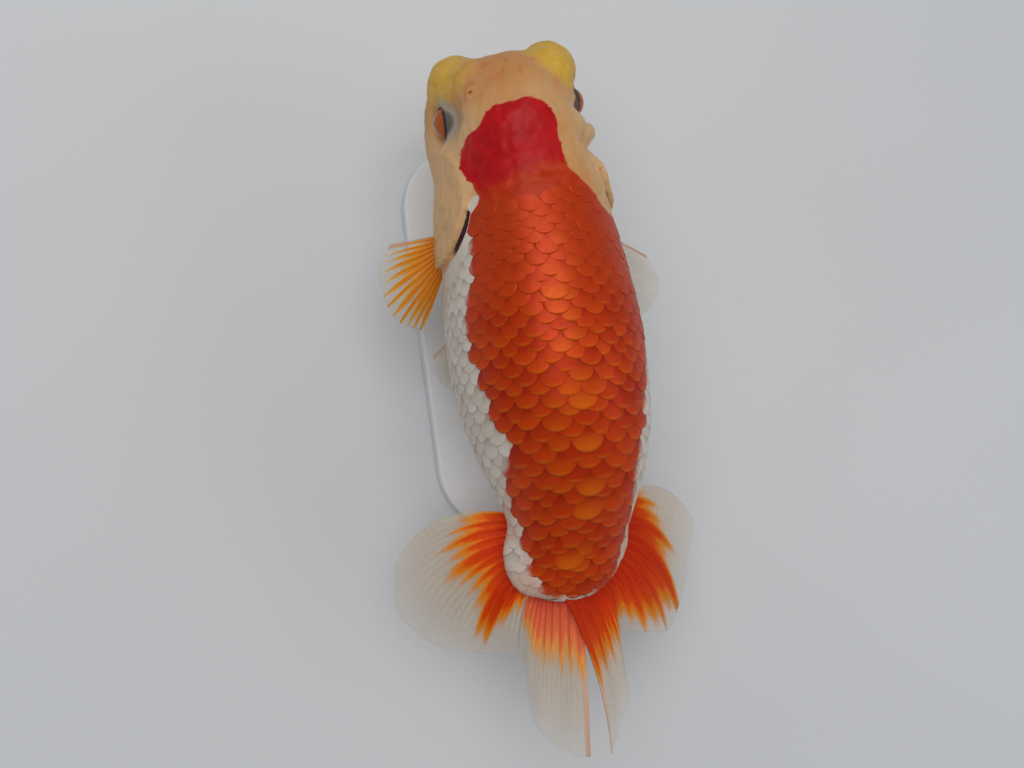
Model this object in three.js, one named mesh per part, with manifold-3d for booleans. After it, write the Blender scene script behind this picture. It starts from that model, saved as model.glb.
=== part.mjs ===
// A Ranchu goldfish with a twin tail and no dorsal fin, as a still life-size display model:
// the swimming fish is carried by two short rods on a flat base.
// Millimetres, +Z up. The head points towards -Y and the fish's left side is at +X.
// The origin is the middle of the base's underside.
import * as THREE from "three";
import { mergeVertices } from "three/addons/utils/BufferGeometryUtils.js";
import Module from "manifold-3d";

const wasm = await Module();
wasm.setup();

// ---- driving dimensions ----
const BODY_LENGTH = 122; // snout to the end of the tail stalk
const SNOUT_Y = -59.5;
const AXIS_HEIGHT = 46; // the body axis above the floor
const GAP = 0.3; // between neighbouring pieces
const SNOUT_ROUNDING = 6; // length of the blunt round end at the snout
const STALK_ROUNDING = 7; // length of the round end at the tail

// Sections along the body: distance behind the snout, half width, height above and depth below the
// axis, and the sideways place of the spine, which bends a little as the fish turns.
const SECTIONS = [
  { place: "snout", at: 0, half: 12.6, top: 14.6, bottom: 12.4, spine: 0.5 },
  { place: "eyes", at: 11, half: 14.6, top: 20.6, bottom: 17.2, spine: 0.4 },
  { place: "cheeks", at: 21, half: 16.6, top: 23.8, bottom: 20.8, spine: 0 },
  { place: "nape", at: 32, half: 17.9, top: 26, bottom: 23.8, spine: 0 },
  { place: "shoulder", at: 44, half: 19.5, top: 27.9, bottom: 26.6, spine: -0.4 },
  { place: "belly", at: 61, half: 21.3, top: 28.8, bottom: 28.6, spine: -0.8 },
  { place: "loin", at: 76, half: 21.1, top: 27.2, bottom: 26.8, spine: -1.2 },
  { place: "vent", at: 87, half: 19.3, top: 23.8, bottom: 22.4, spine: -1.9 },
  { place: "stalk root", at: 97, half: 16.2, top: 18.6, bottom: 16.8, spine: -2.2 },
  { place: "stalk", at: 106, half: 13.2, top: 12.8, bottom: 12.2, spine: -1.4 },
  { place: "tail root", at: 114, half: 11.2, top: 8, bottom: 9.6, spine: -0.2 },
  { place: "tail end", at: 122, half: 9.8, top: 4.6, bottom: 8, spine: 0.8 },
];

// Lumps of the head: distance behind the snout, out from the spine, above the axis, and half sizes.
const EYE = { at: 13, side: 12.9, up: 2.5, size: [3.7, 3.7, 3.7] };
const WEN_LOBE = { at: 3.9, side: 10.8, up: 0.5, size: [5.7, 5.7, 6.6] };
const WEN_CAP = { at: 19, side: 1.2, up: 12.4, size: [12.4, 14.6, 13] };
const CHEEK = { at: 16.5, side: 11.4, up: -7.5, size: [6.4, 10.4, 9.4] };
const CHEEK_KNOB = { at: 19.8, side: 15.2, up: -2, size: [3.4, 3, 3.8] };
const UPPER_LIP = { at: 0.6, side: 0, up: -5.4, size: [4.4, 2.3, 1.6] };
const LOWER_JAW = { at: 2, side: 0, up: -8.8, size: [4.9, 3.4, 2.1] };
const GILL_COVER = { side: 15, up: -1.5, height: 17, proud: 1, flare: 8 };
const GILL_COVER_REACH = { left: { at: 33, length: 12.2 }, right: { at: 27.2, length: 10.9 } };
const HEAD_TURN = 0.07; // how far lumps on the left stand back, and on the right forward, per mm out
const HEAD_END = 34;
const TRUNK_END = 96;

const FIN_THICKNESS = 0.6;
const BASE = { length: 96, width: 40, thickness: 6, corner: 16, edge: 0.8 };
const ROD = { radius: 3, front: -17, rear: 22, into: 5, facets: 12 };

// ---- small helpers ----
const MIRROR = { left: 1, right: -1 };
const sides = Object.keys(MIRROR);
const yAt = (at) => SNOUT_Y + at;
const signedPower = (value, power) => Math.sign(value) * Math.abs(value) ** power;

// A smooth curve through rows, read at one place: cubic pieces whose slopes come from their neighbours.
function smoothValue(rows, key, at) {
  const last = rows.length - 2;
  const i = Math.max(0, Math.min(last, rows.findIndex((row) => row.at > at) - 1));
  const piece = at >= rows[rows.length - 1].at ? last : i;
  const [a, b] = [rows[piece], rows[piece + 1]];
  const before = rows[Math.max(0, piece - 1)];
  const after = rows[Math.min(rows.length - 1, piece + 2)];
  const span = b.at - a.at;
  const slopeA = ((b[key] - before[key]) / (b.at - before.at)) * span;
  const slopeB = ((after[key] - a[key]) / (after.at - a.at)) * span;
  const t = (at - a.at) / span;
  return (
    a[key] * (2 * t ** 3 - 3 * t ** 2 + 1) +
    slopeA * (t ** 3 - 2 * t ** 2 + t) +
    b[key] * (3 * t ** 2 - 2 * t ** 3) +
    slopeB * (t ** 3 - t ** 2)
  );
}

// Sideways place of the spine; ahead of the snout and behind the stalk it runs straight on.
const spineX = (at) => smoothValue(SECTIONS, "spine", Math.max(0, Math.min(BODY_LENGTH, at)));

// How far a round end has closed, from 0 at the tip to 1 where it is fully open.
const opened = (distance, length) =>
  distance >= length ? 1 : Math.sqrt(Math.max(0, 1 - (1 - distance / length) ** 2));

// A closed geometry as a manifold solid.
function toSolid(geometry) {
  const bare = geometry.clone();
  bare.deleteAttribute("normal");
  bare.deleteAttribute("uv");
  const merged = mergeVertices(bare, 1e-4);
  return new wasm.Manifold(
    new wasm.Mesh({
      numProp: 3,
      vertProperties: merged.attributes.position.array,
      triVerts: new Uint32Array(merged.index.array),
    }),
  );
}

function toGeometry(solid) {
  const mesh = solid.getMesh();
  const positions = new Float32Array(mesh.numVert * 3);
  for (let i = 0; i < mesh.numVert; i++)
    positions.set(mesh.vertProperties.subarray(i * mesh.numProp, i * mesh.numProp + 3), i * 3);
  const geometry = new THREE.BufferGeometry()
    .setAttribute("position", new THREE.BufferAttribute(positions, 3))
    .setIndex(new THREE.BufferAttribute(mesh.triVerts, 1));
  geometry.computeVertexNormals();
  return geometry;
}

// The largest of the bodies that a cut leaves.
const mainBody = (solid) =>
  solid.decompose().reduce((best, body) => (body.volume() > best.volume() ? body : best));

const without = (solid, cutters) => cutters.reduce((left, cutter) => left.subtract(cutter), solid);

// A box between two distances behind the snout, wide enough to hold the whole fish.
function slice(from, to) {
  const width = 200;
  const geometry = new THREE.BoxGeometry(width, to - from, width);
  geometry.translate(0, yAt((from + to) / 2), AXIS_HEIGHT);
  return toSolid(geometry);
}

// ---- body ----
function section(at) {
  const closing = Math.min(
    opened(at, SNOUT_ROUNDING),
    opened(BODY_LENGTH - at, STALK_ROUNDING),
  );
  return {
    half: smoothValue(SECTIONS, "half", at) * closing,
    top: smoothValue(SECTIONS, "top", at) * closing,
    bottom: smoothValue(SECTIONS, "bottom", at) * closing,
  };
}

// A point on the body's surface, with the surface moved out by grow.
function bodyPoint(at, angle, grow = 0) {
  const { half, top, bottom } = section(at);
  const squareness = 0.94; // below 1 makes the section a little fuller than an ellipse
  const side = signedPower(Math.sin(angle), squareness);
  const up = signedPower(Math.cos(angle), squareness);
  const stretch = (BODY_LENGTH + 2 * grow) / BODY_LENGTH;
  return new THREE.Vector3(
    spineX(at) + (half + grow) * side,
    SNOUT_Y - grow + at * stretch,
    AXIS_HEIGHT + ((up > 0 ? top : bottom) + grow) * up,
  );
}

// Distances behind the snout of the rings, close together where the ends round off.
function ringPlaces() {
  const endSteps = 3;
  const middleSteps = 16;
  const places = [];
  for (let i = 1; i <= endSteps; i++)
    places.push(SNOUT_ROUNDING * (1 - Math.cos((i / endSteps) * (Math.PI / 2))));
  const middle = BODY_LENGTH - SNOUT_ROUNDING - STALK_ROUNDING;
  for (let i = 1; i < middleSteps; i++) places.push(SNOUT_ROUNDING + (middle * i) / middleSteps);
  for (let i = endSteps; i >= 1; i--)
    places.push(BODY_LENGTH - STALK_ROUNDING * (1 - Math.cos((i / endSteps) * (Math.PI / 2))));
  return places;
}

// The whole body as one loft, moved out by grow.
function bodyLoft(grow = 0) {
  const around = 24;
  const places = ringPlaces();
  const points = [bodyPoint(0, 0, grow)];
  for (const at of places)
    for (let i = 0; i < around; i++) points.push(bodyPoint(at, (i / around) * 2 * Math.PI, grow));
  points.push(bodyPoint(BODY_LENGTH, 0, grow));
  points[0].z = AXIS_HEIGHT;
  points[points.length - 1].z = AXIS_HEIGHT;
  const faces = [];
  const vertex = (ring, i) => 1 + ring * around + (i % around);
  for (let i = 0; i < around; i++) {
    faces.push(0, vertex(0, i), vertex(0, i + 1));
    const last = places.length - 1;
    faces.push(points.length - 1, vertex(last, i + 1), vertex(last, i));
    for (let ring = 0; ring < last; ring++) {
      faces.push(vertex(ring, i), vertex(ring + 1, i), vertex(ring + 1, i + 1));
      faces.push(vertex(ring, i), vertex(ring + 1, i + 1), vertex(ring, i + 1));
    }
  }
  const geometry = new THREE.BufferGeometry().setFromPoints(points);
  geometry.setIndex(faces);
  return outward(toSolid(geometry), geometry);
}

// The same solid with its faces turned outwards, whichever way its loop ran.
function outward(solid, geometry) {
  if (solid.volume() > 0) return solid;
  const flipped = geometry.clone();
  const index = flipped.index.array;
  for (let i = 0; i < index.length; i += 3) [index[i + 1], index[i + 2]] = [index[i + 2], index[i + 1]];
  return toSolid(flipped);
}

// An ellipsoid lump of flesh beside the spine, moved out by grow.
function lump(shape, mirror = 1, grow = 0, facets = 12) {
  const [x, y, z] = shape.size;
  const at = shape.at + mirror * shape.side * HEAD_TURN;
  const geometry = new THREE.SphereGeometry(1, facets, Math.round(facets * 0.7));
  geometry.rotateX(Math.PI / 2);
  geometry.scale(x + grow, y + grow, z + grow);
  geometry.translate(spineX(at) + mirror * shape.side, yAt(at), AXIS_HEIGHT + shape.up);
  return toSolid(geometry);
}

const eyeball = (side, grow = 0) => lump(EYE, MIRROR[side], grow);
const wenLobe = (side, grow = 0) => lump(WEN_LOBE, MIRROR[side], grow, 14);
const wenCap = (grow = 0) => lump(WEN_CAP, 1, grow, 16);

// The right cheek carries one more round knob of wen.
function cheek(side, grow = 0) {
  const round = lump(CHEEK, MIRROR[side], grow);
  return side === "right" ? round.add(lump(CHEEK_KNOB, MIRROR[side], grow)) : round;
}

// The plate over the gills: the outer part of the body's side, inside an oval seen from the side.
function gillCover(side, grow = 0) {
  const width = 20;
  const { at, length } = GILL_COVER_REACH[side];
  const oval = new THREE.CylinderGeometry(1, 1, width, 18);
  oval.rotateZ(Math.PI / 2);
  oval.scale(1, length + grow, GILL_COVER.height + grow);
  oval.translate(MIRROR[side] * (width / 2 - grow), 0, 0);
  oval.rotateZ(-MIRROR[side] * THREE.MathUtils.degToRad(GILL_COVER.flare));
  oval.translate(spineX(at) + MIRROR[side] * GILL_COVER.side, yAt(at), AXIS_HEIGHT + GILL_COVER.up);
  return bodyLoft(GILL_COVER.proud + grow).intersect(toSolid(oval));
}

// ---- fins ----
const curveThrough = (points) => new THREE.CatmullRomCurve3(points, false, "catmullrom", 0.5);

// A fan of rays: each runs from root(t) to tip(t), bowed towards bow(t), as a sheet of FIN_THICKNESS.
function fanFin({ root, tip, bow, from = 0, to = 1, across = 12, along = 7 }) {
  const point = (t, r) => {
    const [a, b, c] = [root(t), bow(t), tip(t)];
    return new THREE.Vector3()
      .addScaledVector(a, (1 - r) ** 2)
      .addScaledVector(b, 2 * r * (1 - r))
      .addScaledVector(c, r ** 2);
  };
  const step = 1e-3;
  const normal = (t, r) => {
    const alongRay = point(t, Math.min(1, r + step)).sub(point(t, Math.max(0, r - step)));
    const acrossRays = point(Math.min(1, t + step), r).sub(point(Math.max(0, t - step), r));
    return alongRay.cross(acrossRays).normalize();
  };
  const columns = across + 1;
  const rows = along + 1;
  const points = [];
  for (const face of [0.5, -0.5])
    for (let i = 0; i < columns; i++)
      for (let j = 0; j < rows; j++) {
        const [t, r] = [from + ((to - from) * i) / across, j / along];
        points.push(point(t, r).addScaledVector(normal(t, r), face * FIN_THICKNESS));
      }
  const vertex = (face, i, j) => face * columns * rows + i * rows + j;
  const faces = [];
  const quad = (a, b, c, d) => faces.push(a, b, c, a, c, d);
  for (let i = 0; i < across; i++)
    for (let j = 0; j < along; j++) {
      quad(vertex(0, i, j), vertex(0, i, j + 1), vertex(0, i + 1, j + 1), vertex(0, i + 1, j));
      quad(vertex(1, i, j), vertex(1, i + 1, j), vertex(1, i + 1, j + 1), vertex(1, i, j + 1));
    }
  for (let i = 0; i < across; i++) {
    quad(vertex(0, i, 0), vertex(0, i + 1, 0), vertex(1, i + 1, 0), vertex(1, i, 0));
    quad(vertex(0, i, along), vertex(1, i, along), vertex(1, i + 1, along), vertex(0, i + 1, along));
  }
  for (let j = 0; j < along; j++) {
    quad(vertex(0, 0, j), vertex(1, 0, j), vertex(1, 0, j + 1), vertex(0, 0, j + 1));
    quad(vertex(0, across, j), vertex(0, across, j + 1), vertex(1, across, j + 1), vertex(1, across, j));
  }
  const geometry = new THREE.BufferGeometry().setFromPoints(points);
  geometry.setIndex(faces);
  return outward(toSolid(geometry), geometry);
}

// One half of the twin tail. It is drawn flat, out from the spine and back from the snout,
// and then hangs from the spine like the slope of a roof.
const TAIL_DROOP = { left: 28, right: 31 }; // degrees below level
const TAIL_ROOT = [
  { out: 0.4, at: 120.5, up: 1 },
  { out: 5.6, at: 119, up: -1.2 },
  { out: 7.8, at: 114.5, up: -1.8 },
  { out: 9, at: 109, up: -3 },
  { out: 9.8, at: 102.5, up: -5.4 },
];
const TAIL_TIP = [
  { out: 0, at: 157, up: 3 },
  { out: 8.6, at: 153.5, up: 2.6 },
  { out: 13, at: 145, up: 1.6 },
  { out: 14, at: 133, up: 0.6, notch: true },
  { out: 24, at: 132.4, up: 0 },
  { out: 34, at: 129, up: -0.6 },
  { out: 41, at: 121, up: -1.2 },
  { out: 43, at: 111.5, up: -1.6 },
];
// The innermost ray of each half: how far its tip stands out, and how far its middle bows out.
const INNER_RAY = { left: { tip: 1.2, bow: 0 }, right: { tip: 4.4, bow: 4 } };
const TAIL_FORK = TAIL_TIP.findIndex((tip) => tip.notch) / (TAIL_TIP.length - 1);
const FORK_OPENING = 0.008; // half the width of the cut between the lobes, as a part of the fan
const RAY_ARCH = 2.2; // how far the middle of a ray stands above the straight line
const RAY_SPREAD = 5; // how far out the outer rays bow
const LEADING_SWEEP = 13; // how far forward the outer rays bow before they turn back

function tailHalf(side) {
  const droop = THREE.MathUtils.degToRad(TAIL_DROOP[side]);
  const inner = INNER_RAY[side];
  const place = ({ out, at, up }) =>
    new THREE.Vector3(
      spineX(at) + MIRROR[side] * out * Math.cos(droop),
      yAt(at),
      AXIS_HEIGHT + up - out * Math.sin(droop),
    );
  const tips = TAIL_TIP.map((tip) => ({ ...tip, out: Math.max(tip.out, inner.tip) }));
  const rootCurve = curveThrough(TAIL_ROOT.map(place));
  const tipCurve = curveThrough(tips.map(place));
  const root = (t) => rootCurve.getPoint(t);
  const tip = (t) => tipCurve.getPoint(t);
  const bow = (t) => {
    const out = RAY_SPREAD * t + inner.bow * (1 - t) ** 3;
    const push = new THREE.Vector3(MIRROR[side] * out, -LEADING_SWEEP * t ** 1.5, RAY_ARCH);
    return root(t).lerp(tip(t), 0.5).add(push);
  };
  return { root, tip, bow };
}

// A paired fin from a short root, fanned between its first and last ray.
// Places are out from the spine, behind the snout and above the axis.
function pairedFin(side, { root, tip, arch }) {
  const place = ({ out, at, up }) =>
    new THREE.Vector3(spineX(at) + MIRROR[side] * out, yAt(at), AXIS_HEIGHT + up);
  const rootCurve = curveThrough(root.map(place));
  const tipCurve = curveThrough(tip.map(place));
  const rootAt = (t) => rootCurve.getPoint(t);
  const tipAt = (t) => tipCurve.getPoint(t);
  const bow = (t) => rootAt(t).lerp(tipAt(t), 0.5).add(new THREE.Vector3(0, 0, arch));
  return fanFin({ root: rootAt, tip: tipAt, bow, across: 8, along: 4 });
}

// The left pectoral fin is spread and the right one lies back along the body.
const PECTORAL = {
  left: {
    root: [
      { out: 16.4, at: 36.8, up: -9.5 },
      { out: 16.8, at: 40.2, up: -11 },
      { out: 16.6, at: 43.4, up: -12.5 },
    ],
    tip: [
      { out: 28.6, at: 37.2, up: -13 },
      { out: 32, at: 42.4, up: -15 },
      { out: 31.4, at: 49.8, up: -17 },
      { out: 27.8, at: 55.6, up: -18.6 },
      { out: 23, at: 57.2, up: -19.4 },
    ],
    arch: 1.6,
  },
  right: {
    root: [
      { out: 17, at: 38.8, up: -8.5 },
      { out: 17, at: 41.6, up: -10.5 },
      { out: 16.6, at: 44.4, up: -12.5 },
    ],
    tip: [
      { out: 30.2, at: 46.6, up: -10.5 },
      { out: 33.2, at: 51.4, up: -13 },
      { out: 33.4, at: 56, up: -16 },
      { out: 30.6, at: 60, up: -19 },
      { out: 26.4, at: 61, up: -21.5 },
    ],
    arch: 1.6,
  },
};
const PELVIC = {
  root: [
    { out: 9.6, at: 55, up: -24.6 },
    { out: 9, at: 57.5, up: -25.2 },
    { out: 7.6, at: 59.5, up: -26 },
  ],
  tip: [
    { out: 20, at: 63, up: -31 },
    { out: 19.6, at: 68.5, up: -33 },
    { out: 16, at: 72.5, up: -34.4 },
    { out: 11, at: 73, up: -34.2 },
  ],
  arch: 0.6,
};
const ANAL = {
  root: [
    { out: 3.2, at: 93.5, up: -17.4 },
    { out: 3.6, at: 97, up: -15 },
    { out: 3.6, at: 100.5, up: -12.8 },
  ],
  tip: [
    { out: 6.4, at: 100, up: -29 },
    { out: 7.6, at: 105.5, up: -29 },
    { out: 8, at: 109.5, up: -25.5 },
    { out: 7.4, at: 110.5, up: -21 },
  ],
  arch: 0,
};

// ---- stand ----
function standBase() {
  const { length, width, thickness, corner, edge } = BASE;
  const [x, y] = [width / 2 - edge, length / 2 - edge];
  const outline = new THREE.Shape();
  outline.moveTo(x, y - corner);
  outline.absarc(x - corner, y - corner, corner, 0, Math.PI / 2);
  outline.absarc(corner - x, y - corner, corner, Math.PI / 2, Math.PI);
  outline.absarc(corner - x, corner - y, corner, Math.PI, 1.5 * Math.PI);
  outline.absarc(x - corner, corner - y, corner, 1.5 * Math.PI, 2 * Math.PI);
  const geometry = new THREE.ExtrudeGeometry(outline, {
    depth: thickness - 2 * edge,
    bevelThickness: edge,
    bevelSize: edge,
    bevelSegments: 1,
    curveSegments: 5,
  });
  geometry.translate(0, 0, edge);
  return toSolid(geometry);
}

// A rod from the base up into the belly.
function standRod(y, grow = 0) {
  const at = y - SNOUT_Y;
  const top = AXIS_HEIGHT - section(at).bottom + ROD.into + grow;
  const foot = BASE.thickness + GAP;
  const geometry = new THREE.CylinderGeometry(ROD.radius + grow, ROD.radius + grow, top - foot, ROD.facets);
  geometry.rotateX(Math.PI / 2);
  geometry.translate(0, y, (top + foot) / 2);
  return toSolid(geometry);
}

// ---- assembly ----
const COLOURS = {
  wen: new THREE.MeshStandardMaterial({ color: 0xe0b478, roughness: 0.45, metalness: 0 }),
  lobe: new THREE.MeshStandardMaterial({ color: 0xe2b23c, roughness: 0.4, metalness: 0 }),
  cap: new THREE.MeshStandardMaterial({ color: 0xb81410, roughness: 0.45, metalness: 0 }),
  back: new THREE.MeshStandardMaterial({ color: 0xc43a0c, roughness: 0.35, metalness: 0 }),
  fin: new THREE.MeshStandardMaterial({ color: 0xd8561a, roughness: 0.45, metalness: 0 }),
  pale: new THREE.MeshStandardMaterial({ color: 0xe4ddd0, roughness: 0.4, metalness: 0 }),
  eye: new THREE.MeshStandardMaterial({ color: 0xc05a14, roughness: 0.1, metalness: 0 }),
  base: new THREE.MeshStandardMaterial({ color: 0xe8e8e6, roughness: 0.4, metalness: 0 }),
  steel: new THREE.MeshStandardMaterial({ color: 0xc4c6c8, roughness: 0.3, metalness: 1 }),
};
const goldfish = new THREE.Group();

function addPart(name, solid, material) {
  const mesh = new THREE.Mesh(toGeometry(mainBody(solid)), material);
  mesh.name = name;
  goldfish.add(mesh);
}

const body = bodyLoft();
const clearOfBody = bodyLoft(GAP);
const bothSides = (make, grow) => sides.map((side) => make(side, grow));
const lips = (grow) => [lump(UPPER_LIP, 1, grow), lump(LOWER_JAW, 1, grow)];
const rods = (grow) => [standRod(ROD.front, grow), standRod(ROD.rear, grow)];
const headLumps = [
  ...bothSides(eyeball, GAP),
  ...bothSides(wenLobe, GAP),
  ...bothSides(cheek, GAP),
  ...bothSides(gillCover, GAP),
  wenCap(GAP),
];

addPart("head", without(body.intersect(slice(-20, HEAD_END)), [...headLumps, ...lips(GAP)]), COLOURS.wen);
addPart("wen_cap", wenCap().subtract(slice(HEAD_END, BODY_LENGTH)), COLOURS.cap);
addPart("upper_lip", without(lump(UPPER_LIP), bothSides(wenLobe, GAP)), COLOURS.wen);
addPart(
  "lower_jaw",
  without(lump(LOWER_JAW), [...bothSides(wenLobe, GAP), lump(UPPER_LIP, 1, GAP)]),
  COLOURS.wen,
);
addPart(
  "trunk",
  without(body.intersect(slice(HEAD_END + GAP, TRUNK_END)), [
    ...bothSides(gillCover, GAP),
    ...rods(GAP),
  ]),
  COLOURS.back,
);
addPart("tail_stalk", body.intersect(slice(TRUNK_END + GAP, BODY_LENGTH + 20)), COLOURS.back);

for (const side of sides) {
  addPart(`eye_${side}`, eyeball(side), COLOURS.eye);
  addPart(`wen_lobe_${side}`, without(wenLobe(side), [eyeball(side, GAP)]), COLOURS.lobe);
  const nearCheek = [eyeball(side, GAP), wenLobe(side, GAP)];
  addPart(`cheek_${side}`, without(cheek(side), nearCheek), COLOURS.wen);
  addPart(`gill_cover_${side}`, without(gillCover(side), [cheek(side, GAP), wenCap(GAP)]), COLOURS.wen);

  const tail = { ...tailHalf(side), across: 8, along: 6 };
  const inner = fanFin({ ...tail, to: TAIL_FORK - FORK_OPENING });
  const outer = fanFin({ ...tail, from: TAIL_FORK + FORK_OPENING });
  addPart(`tail_fin_${side}_inner`, inner.subtract(clearOfBody), COLOURS.fin);
  addPart(`tail_fin_${side}_outer`, outer.subtract(clearOfBody), COLOURS.fin);

  const nearPectoral = [clearOfBody, gillCover(side, GAP)];
  const pectoral = without(pairedFin(side, PECTORAL[side]), nearPectoral);
  addPart(`pectoral_fin_${side}`, pectoral, side === "left" ? COLOURS.fin : COLOURS.pale);
  addPart(`pelvic_fin_${side}`, pairedFin(side, PELVIC).subtract(clearOfBody), COLOURS.pale);
  addPart(`anal_fin_${side}`, pairedFin(side, ANAL).subtract(clearOfBody), COLOURS.pale);
}

addPart("stand_base", standBase(), COLOURS.base);
addPart("stand_rod_front", standRod(ROD.front), COLOURS.steel);
addPart("stand_rod_rear", standRod(ROD.rear), COLOURS.steel);

export default goldfish;
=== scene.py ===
# The looks of a Ranchu goldfish model: one skin with scales, fins and eyes, on its stand.
# Body coordinates are in millimetres: x towards the fish's left, u back from the snout and
# z up from the body's axis. world() turns them into the frame's metres.
import functools
import math

import bmesh
import bpy
import numpy as np
from mathutils import Matrix, Vector

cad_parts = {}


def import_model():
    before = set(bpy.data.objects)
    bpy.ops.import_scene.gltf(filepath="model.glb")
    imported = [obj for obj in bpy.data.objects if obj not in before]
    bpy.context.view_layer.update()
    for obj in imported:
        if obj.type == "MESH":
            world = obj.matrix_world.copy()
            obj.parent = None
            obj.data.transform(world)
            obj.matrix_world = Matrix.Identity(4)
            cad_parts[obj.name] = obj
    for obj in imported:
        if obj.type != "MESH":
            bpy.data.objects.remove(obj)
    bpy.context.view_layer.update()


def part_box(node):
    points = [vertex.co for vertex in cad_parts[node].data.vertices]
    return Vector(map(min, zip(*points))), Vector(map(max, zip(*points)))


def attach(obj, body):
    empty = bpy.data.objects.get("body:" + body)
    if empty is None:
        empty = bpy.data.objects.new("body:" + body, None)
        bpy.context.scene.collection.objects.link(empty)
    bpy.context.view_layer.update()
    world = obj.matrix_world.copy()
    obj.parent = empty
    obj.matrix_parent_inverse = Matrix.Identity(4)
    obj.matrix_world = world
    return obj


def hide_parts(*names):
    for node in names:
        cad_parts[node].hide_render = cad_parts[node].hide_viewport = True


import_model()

# ---- units and the body's driving dimensions ----
BODY_LENGTH = 122.0
EYE_UP = 2.5
SNOUT_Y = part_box("head")[0].y
MM = (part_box("tail_stalk")[1].y - SNOUT_Y) / BODY_LENGTH
AXIS_Z = (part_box("eye_left")[0].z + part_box("eye_left")[1].z) / 2 - EYE_UP * MM
SIDES = {"left": 1, "right": -1}

# Sections along the body: distance behind the snout, half width, height above and depth below
# the axis, and the sideways place of the spine.
SECTIONS = np.array([
    (0, 12.6, 14.6, 12.4, 0.5),
    (11, 14.6, 20.6, 17.2, 0.4),
    (21, 16.6, 23.8, 20.8, 0),
    (32, 17.9, 26, 23.8, 0),
    (44, 19.5, 27.9, 26.6, -0.4),
    (61, 21.3, 28.8, 28.6, -0.8),
    (76, 21.1, 27.2, 26.8, -1.2),
    (87, 19.3, 23.8, 22.4, -1.9),
    (97, 16.2, 18.6, 16.8, -2.2),
    (106, 13.2, 12.8, 12.2, -1.4),
    (114, 11.2, 8, 9.6, -0.2),
    (122, 9.8, 4.6, 8, 0.8),
])
SNOUT_ROUNDING = 6.0
STALK_ROUNDING = 7.0
SECTION_POWER = 2 / 0.94
COAT_DEPTH = 0.35  # how far the skin lies inside the solids where scales cover it
TINY = 1e-6
TINY_AREA = 1e-9

# Lumps of the head: distance behind the snout, out from the spine, above the axis, half sizes.
WEN_LOBE = (4.9, 10.3, 0.3, (6.6, 6.6, 7.2))
WEN_CAP = (19, 1.2, 12.4, (12.4, 14.6, 13))
CHEEK = (16.3, 11.2, -7.5, (6.4, 12, 9.4))
LOBE_FILLET = {1: 2.8, -1: 1.8}  # how softly each lobe runs into the face
CROWN_FILLET = 5.0  # how softly a lobe runs into its crown
CAP_FILLET = 3.0
CHEEK_FILLET = 2.6
TEMPLE_FILLET = 3.0
KNOB_FILLET = 1.4
KNUCKLE_FILLET = 3.0
FIN_ROOT_FILLET = 2.2
TEMPLE = (9.2, 12.2, -3.2, (4.7, 4.6, 6.4))
LOBE_CROWN = {1: (7.4, 8.0, 8.6, (4.2, 4.4, 4.8)), -1: (7.6, 7.0, 11.8, (5.8, 5.8, 6.3))}
CHEEK_KNOB = (19.9, 15.4, 0.5, (3.4, 2.8, 3.6))
# Dips in the right cheek before and behind the knob: distance behind the snout, length, depth.
KNOB_DIPS = [(15.4, 1.6, 1.2), (23.6, 2.6, 2.5)]
TAIL_KNUCKLE = {1: (110.6, 9.7, -2.4, (4.9, 7.6, 4.6)), -1: (109.0, 8.6, -2.0, (4.6, 7.0, 4.2))}
UPPER_LIP = (1.4, 0, -5.2, (4.4, 2.3, 1.6))
LOWER_JAW = (2, 0, -8.8, (4.9, 3.4, 2.1))
MOUTH_UP = -7.25  # where the lips meet
MOUTH_FILL = (1.7, 0, MOUTH_UP, (3.5, 2.4, 1.5))
MOUTH_HALF = 3.4
MOUTH_DEPTH = 0.6
LIPS = [(-6.2, -0.08), (-8.3, 0.07)]  # height of each lip, and how it bends towards its corners
LIP_AT = 1.8
LIP_REACH = (3.7, 2.7)  # half width and half length of the lips' oval
LIP_RADIUS = 1.0
NOSTRIL_AT = {1: (10.1, 10.9, 16.4), -1: (10.6, 12.6, 8.2)}
NOSTRIL_PIT = (0.45, 0.55, 0.5)
NOSTRIL_RIM = (1.3, 1.5, 0.3)
HEAD_TURN = 0.07
EYE_AT = 13.0
EYE_SIDE = 13.5
EYE_RADIUS = 3.7
EYE_RIM = 1.0  # how far out from the eye's centre the lids end
LID_THICKNESS = 0.28
EYE_ROOM = (2.7, 0.65)  # the hollow before the eye: how far out, and its radius past the eye's
BROW_DIP = ((4.4, 0.4, 6.6), 5.6)  # the dip over the eye: its centre from the eye's, and its radius
PUPIL_RADIUS = 1.55
EYE_DROOP = math.radians(10)  # how far the eye's axis turns below level
GILL_UP = -1.5
GILL_SIDE = 15.0
GILL_HEIGHT = 17.0
GILL_PROUD = 1.0
GILL_FLARE = math.radians(8)
GILL_FOLD = 5.2  # how far inside a gill cover's edge its fold runs
SLIT_OUT = 0.5  # how far outside that edge the gill opening runs
SLIT_RADIUS = 0.45
GILL_REACH = {1: (33.0, 12.2), -1: (27.2, 10.9)}


# ---- small helpers ----
def world(points):
    points = np.asarray(points, float)
    return points * MM + np.array([0.0, SNOUT_Y, AXIS_Z])


def hermite(t, a, slope_a, b, slope_b):
    """The cubic from a to b with the slopes at its ends, at t from 0 to 1."""
    return (
        a * (2 * t**3 - 3 * t**2 + 1)
        + slope_a * (t**3 - 2 * t**2 + t)
        + b * (3 * t**2 - 2 * t**3)
        + slope_b * (t**3 - t**2)
    )


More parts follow.
